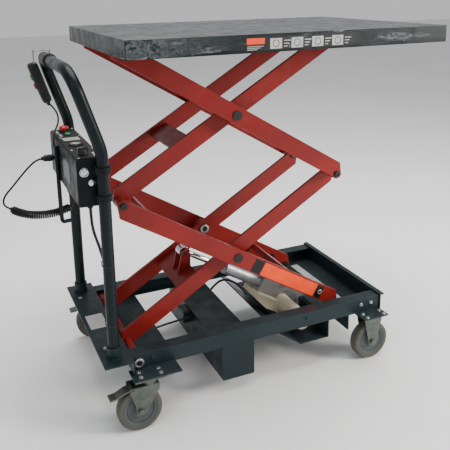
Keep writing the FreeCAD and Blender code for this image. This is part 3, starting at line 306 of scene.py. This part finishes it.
# These nodes share a slot with others, yet have a finish of their own.
REPAINTED = {
    "table_top": TABLE_PAINT, "control_box": BOX_BLACK,
    "handle_bar": HANDLE_PAINT, "cord_hook": HANDLE_PAINT,
    "rigid_forks": CASTER_STEEL, "swivel_plates": CASTER_STEEL,
    "swivel_fork_near": CASTER_STEEL, "swivel_fork_far": CASTER_STEEL,
    "brake_pedal_near": CASTER_STEEL, "brake_pedal_far": CASTER_STEEL,
}
for name, material in REPAINTED.items():
    nodes[name].data.materials[0] = material


# ---- mesh helpers, all in millimetres ----
def piece(name, built, materials, body, smooth=True):
    """An object from a bmesh in millimetres, riding on a CAD body."""
    mesh = bpy.data.meshes.new(name)
    bmesh.ops.recalc_face_normals(built, faces=built.faces)
    for vertex in built.verts:
        vertex.co = at(*vertex.co)
    built.to_mesh(mesh)
    built.free()
    for material in materials:
        mesh.materials.append(material)
    made = bpy.data.objects.new(name, mesh)
    bpy.context.collection.objects.link(made)
    if smooth:
        mesh.shade_smooth()
        mesh.set_sharp_from_angle(angle=math.radians(38))
    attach(made, body)
    return made


def circle(middle, side, up, radius, steps):
    """Points evenly round a circle."""
    return [middle + (side * math.cos(a) + up * math.sin(a)) * radius
            for a in (2 * math.pi * k / steps for k in range(steps))]


def band(low, high):
    """The corners of the four-sided faces between two closed rings of vertices."""
    steps = len(low)
    return [(low[k], low[(k + 1) % steps], high[(k + 1) % steps], high[k]) for k in range(steps)]


AXES = {
    "X": (Vector((0, 1, 0)), Vector((0, 0, 1)), Vector((1, 0, 0))),
    "Y": (Vector((1, 0, 0)), Vector((0, 0, 1)), Vector((0, 1, 0))),
    "Z": (Vector((1, 0, 0)), Vector((0, 1, 0)), Vector((0, 0, 1))),
}


def lathe(built, centre, profile, axis="Z", steps=48, index=0):
    """Turns (along, radius) points round an axis. A radius of 0 closes an end."""
    side, up, along = AXES[axis] if isinstance(axis, str) else axis
    rings = []
    for distance, radius in profile:
        middle = Vector(centre) + along * distance
        if radius < 1e-6:
            rings.append([built.verts.new(middle)])
            continue
        rings.append([built.verts.new(spot) for spot in circle(middle, side, up, radius, steps)])
    for row, (low, high) in enumerate(zip(rings, rings[1:])):
        if len(low) == 1:
            rows = [(low[0], high[(k + 1) % steps], high[k]) for k in range(steps)]
        elif len(high) == 1:
            rows = [(low[k], low[(k + 1) % steps], high[0]) for k in range(steps)]
        else:
            rows = band(low, high)
        for corners in rows:
            face = built.faces.new(corners)
            face.material_index = index(row) if callable(index) else index


def block(built, low, high, bevel=0.0, index=0, turn=None, segments=2):
    """A box between two corners, with its edges rounded, turned about its centre."""
    size = Vector(high) - Vector(low)
    middle = (Vector(high) + Vector(low)) / 2
    stretch = Matrix.Diagonal((*size, 1))
    matrix = Matrix.Translation(middle) @ (turn or Matrix.Identity(4)) @ stretch
    made = bmesh.ops.create_cube(built, size=1, matrix=matrix)
    faces = {face for vertex in made["verts"] for face in vertex.link_faces}
    for face in faces:
        face.material_index = index
    if bevel:
        edges = list({edge for vertex in made["verts"] for edge in vertex.link_edges})
        bmesh.ops.bevel(built, geom=edges, offset=bevel, segments=segments, profile=0.5,
                        affect="EDGES", material=index)


def frame_of(direction):
    """Side, up and along vectors for a direction."""
    along = Vector(direction).normalized()
    side = along.orthogonal().normalized()
    return side, along.cross(side), along


# ---- cords ----
def route_curve(name, points, radius, material, body):
    """A smooth NURBS curve through control points in millimetres, with a round section."""
    data = bpy.data.curves.new(name, "CURVE")
    data.dimensions = "3D"
    data.resolution_u = 10
    spline = data.splines.new("NURBS")
    spline.points.add(len(points) - 1)
    for control, point in zip(spline.points, points):
        control.co = (*at(*point), 1)
    spline.order_u = 3
    spline.use_endpoint_u = True
    data.bevel_depth = radius / 1000
    data.bevel_resolution = 5
    data.use_fill_caps = True
    data.materials.append(material)
    made = bpy.data.objects.new(name, data)
    bpy.context.collection.objects.link(made)
    if body:
        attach(made, body)
    return made


def curve_line(points):
    """Points in millimetres along the smooth curve of a route."""
    probe = route_curve("probe", points, 0, CORD_JACKET, None)
    probe.data.bevel_depth = 0
    probe.data.use_fill_caps = False
    bpy.context.view_layer.update()
    depsgraph = bpy.context.evaluated_depsgraph_get()
    mesh = bpy.data.meshes.new_from_object(probe.evaluated_get(depsgraph))
    line = [vertex.co * 1000 + Vector((ORIGIN_X, 0, 0)) for vertex in mesh.vertices]
    bpy.data.objects.remove(probe)
    bpy.data.meshes.remove(mesh)
    return line


def walk(line, step):
    """Points and directions along a line at an even step."""
    found = []
    travelled, wanted = 0.0, 0.0
    for first, second in zip(line, line[1:]):
        length = (second - first).length
        while length > 1e-9 and wanted <= travelled + length:
            share = (wanted - travelled) / length
            found.append((first.lerp(second, share), (second - first).normalized()))
            wanted += step
        travelled += length
    return found


def turned_round(line, radius_at, pitch, per_turn):
    """Points that wind round a line at the radius radius_at(distance along it), without twist."""
    spots = walk(line, pitch / per_turn)
    side = frame_of(spots[0][1])[0]
    wound = []
    for number, (spot, along) in enumerate(spots):
        side = (side - along * side.dot(along)).normalized()
        other = along.cross(side)
        angle = 2 * math.pi * number / per_turn
        reach = radius_at(number * pitch / per_turn)
        wound.append(spot + (side * math.cos(angle) + other * math.sin(angle)) * reach)
    return wound


def tube(name, line, radius, sides, material, body):
    """A closed round tube whose middle line is the given points."""
    made = bmesh.new()
    side = frame_of(line[1] - line[0])[0]
    rings = []
    for number, spot in enumerate(line):
        before = line[max(0, number - 1)]
        after = line[min(len(line) - 1, number + 1)]
        along = (after - before).normalized()
        side = (side - along * side.dot(along)).normalized()
        outline = circle(spot, side, along.cross(side), radius, sides)
        rings.append([made.verts.new(corner) for corner in outline])
    for low, high in zip(rings, rings[1:]):
        for corners in band(low, high):
            made.faces.new(corners)
    made.faces.new(rings[0])
    made.faces.new(rings[-1])
    return piece(name, made, [material], body)


def nearest_distance(line, point):
    """How far along a line the place nearest a point is."""
    travelled = 0.0
    best = (1e9, 0.0)
    for first, second in zip(line, line[1:]):
        best = min(best, ((first - Vector(point)).length, travelled))
        travelled += (second - first).length
    return best[1]


CORD_DROP = [(-105, 80, 624), (-105, 80, 612), (-101, 80, 590), (-91, 80, 571), (-86, 80, 557)]
COIL = [(-92, 80, 547), (-112, 80, 539), (-141, 80, 532), (-178, 80, 531), (-214, 80, 536),
        (-246, 80, 549), (-271, 80, 566)]
CORD_RISE = [(-282, 80, 574), (-286, 80, 588), (-277, 80, 607), (-255, 80, 629),
             (-230, 80, 657), (-205, 80, 682), (-186, 80, 697), (-172.7, 80, 699.7)]
CORD_LIFT = [(-130.1, 80, 700), (-129.5, 84, 713), (-130, 92, 731), (-129, 103, 752),
             (-119, 122, 770), (-104, 145, 786), (-100, 166, 807), (-109, 182, 827),
             (-122.4, 190, 842.2)]
CORD_RADIUS = 2.75
CURL_RADIUS = 9.9
curly_route = curve_line(CORD_DROP + COIL + CORD_RISE)
curl_start = nearest_distance(curly_route, COIL[0])
curl_end = nearest_distance(curly_route, COIL[-1])


def curl_reach(distance):
    """The curl's radius along the cord: none outside the coil, easing in over its first turns."""
    inside = min(distance - curl_start, curl_end - distance) / 14
    share = min(1.0, max(0.0, inside))
    return CURL_RADIUS * share * share * (3 - 2 * share)


def thinned(line, reach_at, step, every):
    """The wound points, with fewer of them where the cord runs straight."""
    kept = []
    for number, spot in enumerate(line):
        if reach_at(number * step) > 0 or number % every == 0:
            kept.append(spot)
    kept[-1] = line[-1]
    return kept


CURL_PITCH = 6.1
CURL_STEPS = 18
curl_line = thinned(turned_round(curly_route, curl_reach, CURL_PITCH, CURL_STEPS), curl_reach,
                    CURL_PITCH / CURL_STEPS, 6)
curly = tube("handset_cord", curl_line, CORD_RADIUS, 12, CORD_JACKET, "base")
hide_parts("cord_tail", "cord_coil")
lift_cord = route_curve("handset_upper_cord", CORD_LIFT, CORD_RADIUS, CORD_JACKET, "base")
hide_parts("cord_upper")

built = bmesh.new()
lathe(built, (-172, 80, 700), [
    (0, 0), (0, 4.2), (1, 5.2), (8, 6.6), (8.5, 9.3), (10, 9.5), (18, 9.5), (18.6, 8.9),
    (20, 8.9), (20.6, 9.5), (33, 9.5), (34.6, 8.6), (35, 6.4), (38.2, 4.4), (39, 3.2), (39, 0)],
    "X", 40)
for k in range(10):
    angle = 2 * math.pi * k / 10
    ridge = Vector((-148.5, 80 + 9.3 * math.cos(angle), 700 + 9.3 * math.sin(angle)))
    block(built, ridge - Vector((4.6, 0.7, 0.7)), ridge + Vector((4.6, 0.7, 0.7)), 0.3)
plug = piece("cord_plug", built, [BLACK_PLASTIC], "base")
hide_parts("cord_connector")

# ---- wheels ----
def wheel(name, node, body, x, y):
    """A smooth tread with a grooved wall on each side, round a moulded disc and its hub."""
    half = [(-18.4, 6.4), (-18.4, 13.2), (-17.4, 14.6), (-13.2, 16.6), (-12.4, 19.0), (-11.9, 34.0),
            (-12.2, 36.4), (-10.9, 37.0), (-10.9, 38.4), (-12.6, 39.0), (-14.2, 43.0),
            (-15.4, 46.6), (-15.5, 47.3), (-14.9, 47.6), (-14.9, 48.1), (-15.8, 48.6),
            (-15.9, 56.4), (-14.8, 59.9), (-12.4, 61.7), (-8.5, 62.3), (-3.5, WHEEL_RADIUS)]
    profile = half + [(-along, radius) for along, radius in reversed(half)]
    profile.append(profile[0])
    made = bmesh.new()
    tread = range(13, 28)
    lathe(made, (x, y, WHEEL_RADIUS), profile, "Y", 72, lambda row: 0 if row in tread else 1)
    bmesh.ops.remove_doubles(made, verts=made.verts, dist=0.001)
    turned = piece(name, made, [TREAD, WHEEL_CORE], body)
    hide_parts(node)


wheel("caster_wheel_handle_near", "wheel_handle_near", "wheel_a", -14, -264)
wheel("caster_wheel_handle_far", "wheel_handle_far", "wheel_b", -14, 264)
wheel("caster_wheel_load_near", "wheel_load_near", "wheel_c", 761, -242.5)
wheel("caster_wheel_load_far", "wheel_load_far", "wheel_d", 761, 242.5)


# ---- bolts ----
def hex_bolt(made, spot, axis, sign=1, index=0, across=5.6, height=4.0):
    """A washer and a chamfered hexagon head standing on a face."""
    side, up, along = AXES[axis]
    direction = (side, up * sign, along * sign)
    lathe(made, spot, [(0, 6.4), (0.9, 6.4), (1.0, 6.2), (1.0, 0)], direction, 28, index)
    lathe(made, spot, [(0.9, across), (height - 0.7, across), (height, across * 0.86), (height, 0)],
          direction, 6, index)


built = bmesh.new()
for sign in (-1, 1):
    for x in (40, 535, 735, 772):
        hex_bolt(built, (x, sign * 231.5, 182), "Y", sign, 1 if x < 600 else 0)
    for x in (-8, 48, 728, 790):
        for y in (252, 276):
            hex_bolt(built, (x, sign * y, DECK_TOP), "Z")
    hex_bolt(built, (-75, sign * 164, HANDLE_PLATE_TOP), "Z")
bolt_heads = piece("bolt_heads", built, [ZINC, FRAME_PAINT], "base", smooth=False)
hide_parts("frame_fasteners")


# ---- control box and its fittings ----
def round_part(name, node, centre, profile, materials, body, axis="Z", steps=56, extra=None):
    made = bmesh.new()
    lathe(made, centre, profile, axis, steps)
    if extra:
        extra(made)
    turned = piece(name, made, materials, body)
    if node:
        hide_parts(node)
    return turned


round_part("stop_mushroom", "stop_button", (-89, 153, PANEL), [
    (-8, 0), (-8, 8), (8.4, 8), (8.5, 13.4), (9.2, 14.8), (11.0, 15.0), (13.6, 14.2), (15.6, 12.2),
    (16.8, 9.0), (17.4, 5.0), (17.5, 0)], [RED_PLASTIC], "stop")
round_part("power_plunger", "power_button", (-87, 100, PANEL), [
    (-8, 0), (-8, 8), (5.2, 8), (6.2, 7.6), (6.8, 6.6), (6.2, 5.4), (5.9, 0)],
    [GREEN_PLASTIC], "power")


def knob_grip(made):
    block(made, (-110.5, -157, PANEL + 7), (-83.5, -151, PANEL + 20.5), 1.6)
    block(made, (-110.8, -154.6, PANEL + 8), (-96, -153.4, PANEL + 20.9), 0.3, 1)


round_part("selector_grip", "selector_knob", (-97, -154, PANEL), [
    (-8, 0), (-8, 4), (1.5, 4), (1.5, 11.2), (2.3, 12), (12.6, 11.4), (14.6, 10.6), (15.4, 9.0),
    (15.5, 0)], [BLACK_PLASTIC, WHITE_PLASTIC], "knob", extra=knob_grip)


def gauge_dial(made):
    """A ring of scale segments round a pale window with one pointer."""
    for k in range(9):
        start = math.radians(-30 + k * 27)
        for sub in range(3):
            a = start + math.radians(sub * 7.6)
            b = a + math.radians(7.6)
            ring = [made.verts.new((-91 + r * math.cos(t), -35 + r * math.sin(t), PANEL + 5.1))
                    for t, r in ((a, 11), (b, 11), (b, 15.4), (a, 15.4))]
            face = made.faces.new(ring)
            face.material_index = 2 if k > 1 else 3
    lathe(made, (-91, -35, PANEL + 5.0), [(0, 10.0), (0.25, 9.8), (0.25, 0)], "Z", 40, 1)
    block(made, (-92, -36, PANEL + 5.2), (-82, -34, PANEL + 5.5), 0.2, 0)


round_part("gauge", "battery_gauge", (-91, -35, PANEL), [
    (0, 0), (0, 21), (2.6, 21), (3.8, 20), (5.4, 18.4), (5.5, 17.4), (5.0, 16.6), (4.9, 0)],
    [BLACK_PLASTIC, WHITE_PLASTIC, YELLOW_PLASTIC, RED_PLASTIC], "base",
    extra=gauge_dial)


def plates(name, rows, material, body, bevel=0.25):
    """Thin label blanks and tapes as (low corner, high corner)."""
    made = bmesh.new()
    for low, high in rows:
        block(made, low, high, bevel)
    return piece(name, made, [material], body, smooth=False)


plates("panel_labels", [
    ((-116, 128, PANEL), (-106, 176, PANEL + 0.4)), ((-112, 84, PANEL), (-104, 116, PANEL + 0.4)),
    ((-112, 24, PANEL), (-66, 62, PANEL + 0.4)), ((-72, -176, PANEL), (-60, -134, PANEL + 0.4))],
    WHITE_PLASTIC, "base")
plates("box_side_label", [((-124.5, -96, 664), (-124, -6, 722))], BLUE_PLASTIC, "base")
built = bmesh.new()
for x in (-114, -60):
    for y in (-182, -90, 70, 182):
        lathe(built, (x, y, PANEL), [(0, 3.6), (0.8, 3.4), (1.4, 2.2), (1.4, 0)], "Z", 20)
        block(built, (x - 2.2, y - 0.4, PANEL + 1.0), (x + 2.2, y + 0.4, PANEL + 1.5), 0.0, 0)
piece("panel_screws", built, [ZINC], "base")


def socket_cap(made):
    """The cap that hangs under the charging socket."""
    lathe(made, (-88, -192, 694), [(0, 0), (0, 9), (-4.6, 9), (-6.2, 8), (-7, 6), (-7, 0)], "Y", 36)


round_part("socket", "charging_socket", (-105, -192, 722), [
    (0, 0), (0, 12), (-2, 12), (-2.4, 10.4), (-7.6, 10.4), (-9, 9.6), (-9, 8.4), (-3, 8.2), (-3, 3),
    (-7.6, 3), (-7.8, 0)], [CHROME], "base", "Y", extra=socket_cap)

built = bmesh.new()
for x, y, core in ((-90, -165, 4.3), (-105, 80, 3.1)):
    lathe(built, (x, y, 630), [(0, 9.9), (-1, 10), (-7, 10), (-8, 9.3)], "Z", 6)
    lathe(built, (x, y, 630), [(-7.9, 9.2), (-8, 7.5), (-12, 7.1), (-13, 6.0), (-13, core),
                               (2, core)], "Z", 32)
glands = piece("glands", built, [BLACK_PLASTIC], "base")
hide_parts("cable_glands")


# ---- handset ----
BAR_LEAN_OUT = 66
BAR_LEAN_UP = 205
LEAN = math.atan(BAR_LEAN_OUT / BAR_LEAN_UP)
TILT = Matrix.Rotation(-LEAN, 4, "Y")
HANDSET = Vector((-142, 190, 903))
ACROSS, UP_CASE, OUT = (TILT @ Vector(v) for v in ((0, 1, 0), (0, 0, 1), (-1, 0, 0)))


def on_case(out, across, up):
    """A point of the handset: out of its front face, across it and up along it."""
    return HANDSET + TILT @ Vector((-out, across, up))


built = bmesh.new()
CASE_STEPS = 40
SQUARENESS = 0.42
rows = [(-62, 9.0, 12.0), (-59, 12.6, 15.6), (-50, 14.0, 17.4), (-30, 14.0, 17.0), (-6, 14.4, 17.8),
        (22, 14.8, 18.6), (44, 14.8, 18.8), (56, 14.0, 18.0), (61, 11.4, 15.0), (62, 9.0, 12.0)]
rings = []
for up, deep, wide in rows:
    ring = []
    for k in range(CASE_STEPS):
        angle = 2 * math.pi * k / CASE_STEPS
        c, s = math.cos(angle), math.sin(angle)
        ring.append(built.verts.new(on_case(deep * math.copysign(abs(c) ** SQUARENESS, c),
                                            wide * math.copysign(abs(s) ** SQUARENESS, s), up)))
    rings.append(ring)
for low, high in zip(rings, rings[1:]):
    for corners in band(low, high):
        built.faces.new(corners)
built.faces.new(rings[0])
built.faces.new(rings[-1])
for up in (-46, -41, -36, -31):
    for side in (-1, 1):
        middle = on_case(0, side * 17.0, up)
        block(built, middle - Vector((9, 1.2, 1.1)), middle + Vector((9, 1.2, 1.1)), 0.6, 0, TILT)
for up in (22, -6):
    lathe(built, on_case(14.2, 0, up), [(0, 11), (1.0, 10.8), (1.4, 10.0), (1.4, 8.5), (0, 8.4)],
          (ACROSS, UP_CASE, OUT), 36, 1)
block(built, (-157, 174, 952), (-154, 186, 999.5), 0.8, 2)
block(built, (-157, 174, 996.5), (-107, 186, 999.5), 0.8, 2)
block(built, (-110, 174, 984), (-107, 186, 999.5), 0.8, 2)
lathe(built, on_case(0, 0, -61), [(0, 7.4), (-4, 6.8), (-6.5, 5.4), (-12, 4.0), (-12, 0)],
      (ACROSS, OUT, UP_CASE), 28)
case = piece("handset_shell", built, [BLACK_PLASTIC, GREY_PLASTIC, ZINC], "base")
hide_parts("handset_case")
for node, body, up, material, slot in (
        ("handset_up_button", "up", 22, GREEN_PLASTIC, "green_plastic"),
        ("handset_down_button", "down", -6, RED_PLASTIC, "red_plastic")):
    built = bmesh.new()
    lathe(built, on_case(11, 0, up), [(0, 0), (0, 8), (7.2, 8), (8.2, 7.2), (8.5, 5.6), (8.1, 0)],
          (ACROSS, UP_CASE, OUT), 40)
    cap = piece(body + "_cap", built, [material], body)
    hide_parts(node)


# ---- leads clipped along the upright and under the floor plates ----
POWER_LEAD = [(-90, -165, 634), (-90, -165, 600), (-88, -169, 556), (-76, -181, 510),
              (-64, -189, 450), (-61, -190, 375), (-63, -190.5, 300), (-62, -190, 230),
              (-62, -188, 178), (-54, -170, 145), (-24, -128, 140.5), (14, -84, 142),
              (60, -44, 140.5), (118, -16, 141.5), (180, -6, 141), (222, -4, 141.5),
              (251, -4, 141.5)]
MOTOR_LEAD = [(351, 150, 132), (372, 152, 134), (392, 156, 149), (416, 158, 163), (440, 146, 166),
              (452, 120, 165.5), (457, 84, 166), (455, 48, 165), (451, 24, 165.5)]
power = route_curve("power_lead", POWER_LEAD, 3.6, CORD_JACKET, "base")
motor = route_curve("motor_lead", MOTOR_LEAD, 4.0, CORD_JACKET, "base")
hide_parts("control_cables")
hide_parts("control_cables")
sleeve = turned_round(curve_line(POWER_LEAD[:9]), lambda distance: 3.9, 7.0, 12)
tube("lead_wrap", sleeve, 1.0, 6, BLACK_PLASTIC, "base")
UPRIGHT_X = -62
TIE_NARROWING = 0.68
for level in (300, 470):
    built = bmesh.new()
    lathe(built, (UPRIGHT_X, -205, level),
          [(-3, 24.5), (-3, 25.6), (3, 25.6), (3, 24.5), (-3, 24.5)], "Z", 48)
    for vertex in built.verts:
        vertex.co.x = UPRIGHT_X + (vertex.co.x - UPRIGHT_X) * TIE_NARROWING
    piece(f"cable_tie_{level}", built, [BLACK_PLASTIC], "base")

# ---- push handle grip ring and socket welds ----
built = bmesh.new()
lathe(built, (-128, 60, 980), [(-9, 16.05), (-9, 18.6), (-8, 19.4), (8, 19.4), (9, 18.6),
                               (9, 16.05)], "Y", 56)
piece("bar_ring", built, [RUBBER], "base")
built = bmesh.new()
for sign in (-1, 1):
    for k in range(30):
        angle = 2 * math.pi * k / 30
        spot = Vector((UPRIGHT_X + 20.6 * math.cos(angle), sign * 213 + 20.6 * math.sin(angle),
                       HANDLE_PLATE_TOP + 0.4))
        bmesh.ops.create_uvsphere(built, u_segments=10, v_segments=6, radius=2.3,
                                  matrix=Matrix.Translation(spot))
piece("socket_welds", built, [FRAME_PAINT], "base")

# ---- ends of the pivot pins ----
def pin_end(made, x, y, z, sign, outer, inner, depth):
    """A plated ring round a dark recess, standing on a face that looks along sign times y."""
    direction = (Vector((1, 0, 0)), Vector((0, 0, sign)), Vector((0, sign, 0)))
    lathe(made, (x, y, z), [(0, outer), (depth - 0.6, outer), (depth, outer - 0.8),
                            (depth, inner + 0.6), (depth - 0.7, inner), (0.3, inner)],
          direction, 40, 0)
    lathe(made, (x, y, z), [(0.35, inner), (0.35, 0)], direction, 40, 1)


def pin_ends(name, body, spots, ring=None):
    made = bmesh.new()
    for x, y, z, sign, outer, inner, depth in spots:
        pin_end(made, x, y, z, sign, outer, inner, depth)
    piece(name, made, [ring or ZINC, STEEL_BLACK], body)


pin_ends("shaft_ends", "base", [
    (0, side * 235.4, PIVOT_HEIGHT, side, 14.2, 8.5, 1.6) for side in (-1, 1)])
pin_ends("lower_cross_ends", "lower_inner", [
    (CROSS[0], -side * 101.6, CROSS[1], side, 15.2, 8.8, 3.2) for side in (-1, 1)])
pin_ends("upper_cross_ends", "upper_inner", [
    (UPPER_CROSS[0], -side * 101.6, UPPER_CROSS[1], side, 15.2, 8.8, 3.2) for side in (-1, 1)])
pin_ends("left_knee_ends", "lower_outer", [
    (0, side * 163.9, KNEE_HEIGHT, side, 9.2, 5.2, 1.5) for side in (-1, 1)], STEEL_BLACK)
pin_ends("right_knee_ends", "upper_outer", [
    (REACH, side * 163.9, KNEE_HEIGHT, side, 9.2, 5.2, 1.5) for side in (-1, 1)], STEEL_BLACK)
pin_ends("roller_axle_ends", "lower_outer", [
    (CROSS[0] + BOLT_ALONG * math.cos(BAR_ANGLE), side * 165.9,
     CROSS[1] - BOLT_ALONG * math.sin(BAR_ANGLE), side, 8.4, 4.4, 1.5) for side in (-1, 1)])

# ---- generic tapes and blank labels ----
FALL = Matrix.Rotation(BAR_ANGLE, 4, "Y")


def on_arm(centre, turn, along, up):
    """World x and z of a point along an arm and above its middle line."""
    spot = Vector((centre[0], 0, centre[1])) + turn @ Vector((along, 0, up))
    return spot.x, spot.z


def arm_plate(made, centre, turn, along, up, long, wide, y, thick, index=0):
    """A thin plate lying on an arm's outer face."""
    x, z = on_arm(centre, turn, along, up)
    middle, half = Vector((x, y, z)), Vector((long, thick, wide)) / 2
    block(made, middle - half, middle + half, min(0.2, thick * 0.4), index, turn)


built = bmesh.new()
arm_plate(built, CROSS, FALL, 205, -1, 220, 42, -161.2, 0.5)
arm_plate(built, CROSS, FALL, 77, -1, 36, 42, -161.3, 0.6, 1)
arm_plate(built, CROSS, FALL, 329, -1, 28, 42, -161.3, 0.6, 1)
piece("arm_tape", built, [ORANGE_TAPE, BLACK_PLASTIC], "lower_outer", smooth=False)

plates("skirt_block", [((287, TABLE_FRONT - 0.45, TABLE_TOP - 25),
                        (337, TABLE_FRONT - 0.05, TABLE_TOP - 10))], ORANGE_TAPE, "table")
plates("skirt_backing", [((285, TABLE_FRONT - 0.3, TABLE_TOP - 41),
                          (606, TABLE_FRONT, TABLE_TOP - 8))], BLACK_PLASTIC, "table")
BLANKS = range(4)
BLANK_PITCH = 61
plates("skirt_blanks", [((352 + BLANK_PITCH * k, TABLE_FRONT - 0.45, TABLE_TOP - 38),
                         (386 + BLANK_PITCH * k, TABLE_FRONT - 0.1, TABLE_TOP - 12))
                        for k in BLANKS], WHITE_PLASTIC, "table")


def stroke(made, low_x, high_x, drop, thick, proud):
    """A white line on the skirt's backing, drop below the platform's top."""
    block(made, (low_x, TABLE_FRONT - proud, TABLE_TOP - drop),
          (high_x, TABLE_FRONT - 0.3, TABLE_TOP - drop + thick), 0.0, 1)


built = bmesh.new()
for k in BLANKS:
    x = 369 + BLANK_PITCH * k
    lathe(built, (x, TABLE_FRONT - 0.45, TABLE_TOP - 25),
          [(0, 9.5), (-0.15, 9.5), (-0.15, 7.6), (0, 7.6)], "Y", 32)
    for row in range(3):
        stroke(built, x + 22, x + 42 - 5 * row, 20 + 7 * row, 2.4, 0.45)
for row in range(3):
    stroke(built, 288, 334 - 9 * row, 31 + 4 * row, 1.6, 0.5)
piece("skirt_marks", built, [BLACK_PLASTIC, WHITE_PLASTIC], "table", smooth=False)
plates("floor_label", [((704, -135, DECK_TOP), (732, 161, DECK_TOP + 0.5))], WHITE_PLASTIC, "base")
plates("handle_plate_label", [((-88, -48, HANDLE_PLATE_TOP), (-36, 38, HANDLE_PLATE_TOP + 0.4))],
       WHITE_PLASTIC, "base")


# ---- protective film over the platform ----
def film_sheet():
    """Clear film stretched over the platform and folded down its skirt, with slack ripples."""
    made = bmesh.new()
    low_x, high_x, half_y = -20.0, 920.0, -TABLE_FRONT
    drop = 44.0

    def lines(low, high, cells):
        """Even grid lines from one flat edge to the other, with exact ones at the folds."""
        edges = [low, high, low - drop, high + drop]
        even = [low - drop + (high - low + 2 * drop) * k / cells for k in range(cells + 1)]
        return sorted(edges + [v for v in even if min(abs(v - e) for e in edges) > 2.0])

    xs = lines(low_x, high_x, 168)
    ys = lines(-half_y, half_y, 118)
    grid = {}
    for i, u in enumerate(xs):
        for j, v in enumerate(ys):
            x = min(max(u, low_x), high_x)
            y = min(max(v, -half_y), half_y)
            down_x, down_y = abs(u - x), abs(v - y)
            if down_x > 0 and down_y > 0:
                continue
            down = down_x + down_y
            ripple = noise.fractal(Vector((u * 0.011, v * 0.017, 3.1)), 1.0, 2.1, 4)
            fine = noise.fractal(Vector((u * 0.05, v * 0.03, 9.7)), 0.8, 2.0, 3)
            slack = max(0.0, 1 - math.hypot(x - low_x, (y + half_y) * 0.6) / 250)
            crumple = noise.fractal(Vector((u * 0.045, v * 0.045, down * 0.06)), 0.7, 2.2, 5)
            lift = max(0.0, 1.0 + 1.5 * ripple + 0.7 * fine + 2.6 * slack * crumple)
            if down == 0:
                spot = Vector((x, y, TABLE_TOP + 0.25 + lift))
            else:
                fold = min(2.2, lift * 0.8) + 5.5 * slack * abs(crumple)
                out = 0.35 + fold * min(1.0, down / 18)
                normal = Vector(((u > x) - (u < x), (v > y) - (v < y), 0))
                edge = drop * (0.86 + 0.12 * noise.noise(Vector((u * 0.02, v * 0.02, 5.0))))
                reach = min(down, edge) * (1 + slack * (0.22 + 0.2 * crumple))
                spot = Vector((x, y, TABLE_TOP + 0.25 - reach)) + normal * out
            grid[i, j] = made.verts.new(spot)
    for i in range(len(xs) - 1):
        for j in range(len(ys) - 1):
            corners = [(i, j), (i + 1, j), (i + 1, j + 1), (i, j + 1)]
            if all(corner in grid for corner in corners):
                made.faces.new([grid[corner] for corner in corners])
    sheet_piece = piece("platform_film", made, [FILM], "table")
    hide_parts("table_film")


film_sheet()

# ---- floor ----
bpy.ops.mesh.primitive_plane_add(size=30, location=(0, 0, 0))
floor = bpy.context.object
floor.name = "floor"
paving = Shader("pale_floor", Roughness=0.75)
paving.set("Base Color", paving.ramp(paving.noise(1.2, 3.0), [(0.3, (0.74, 0.75, 0.75)),
                                                              (0.8, (0.79, 0.80, 0.80))]))
floor.data.materials.append(paving.material)
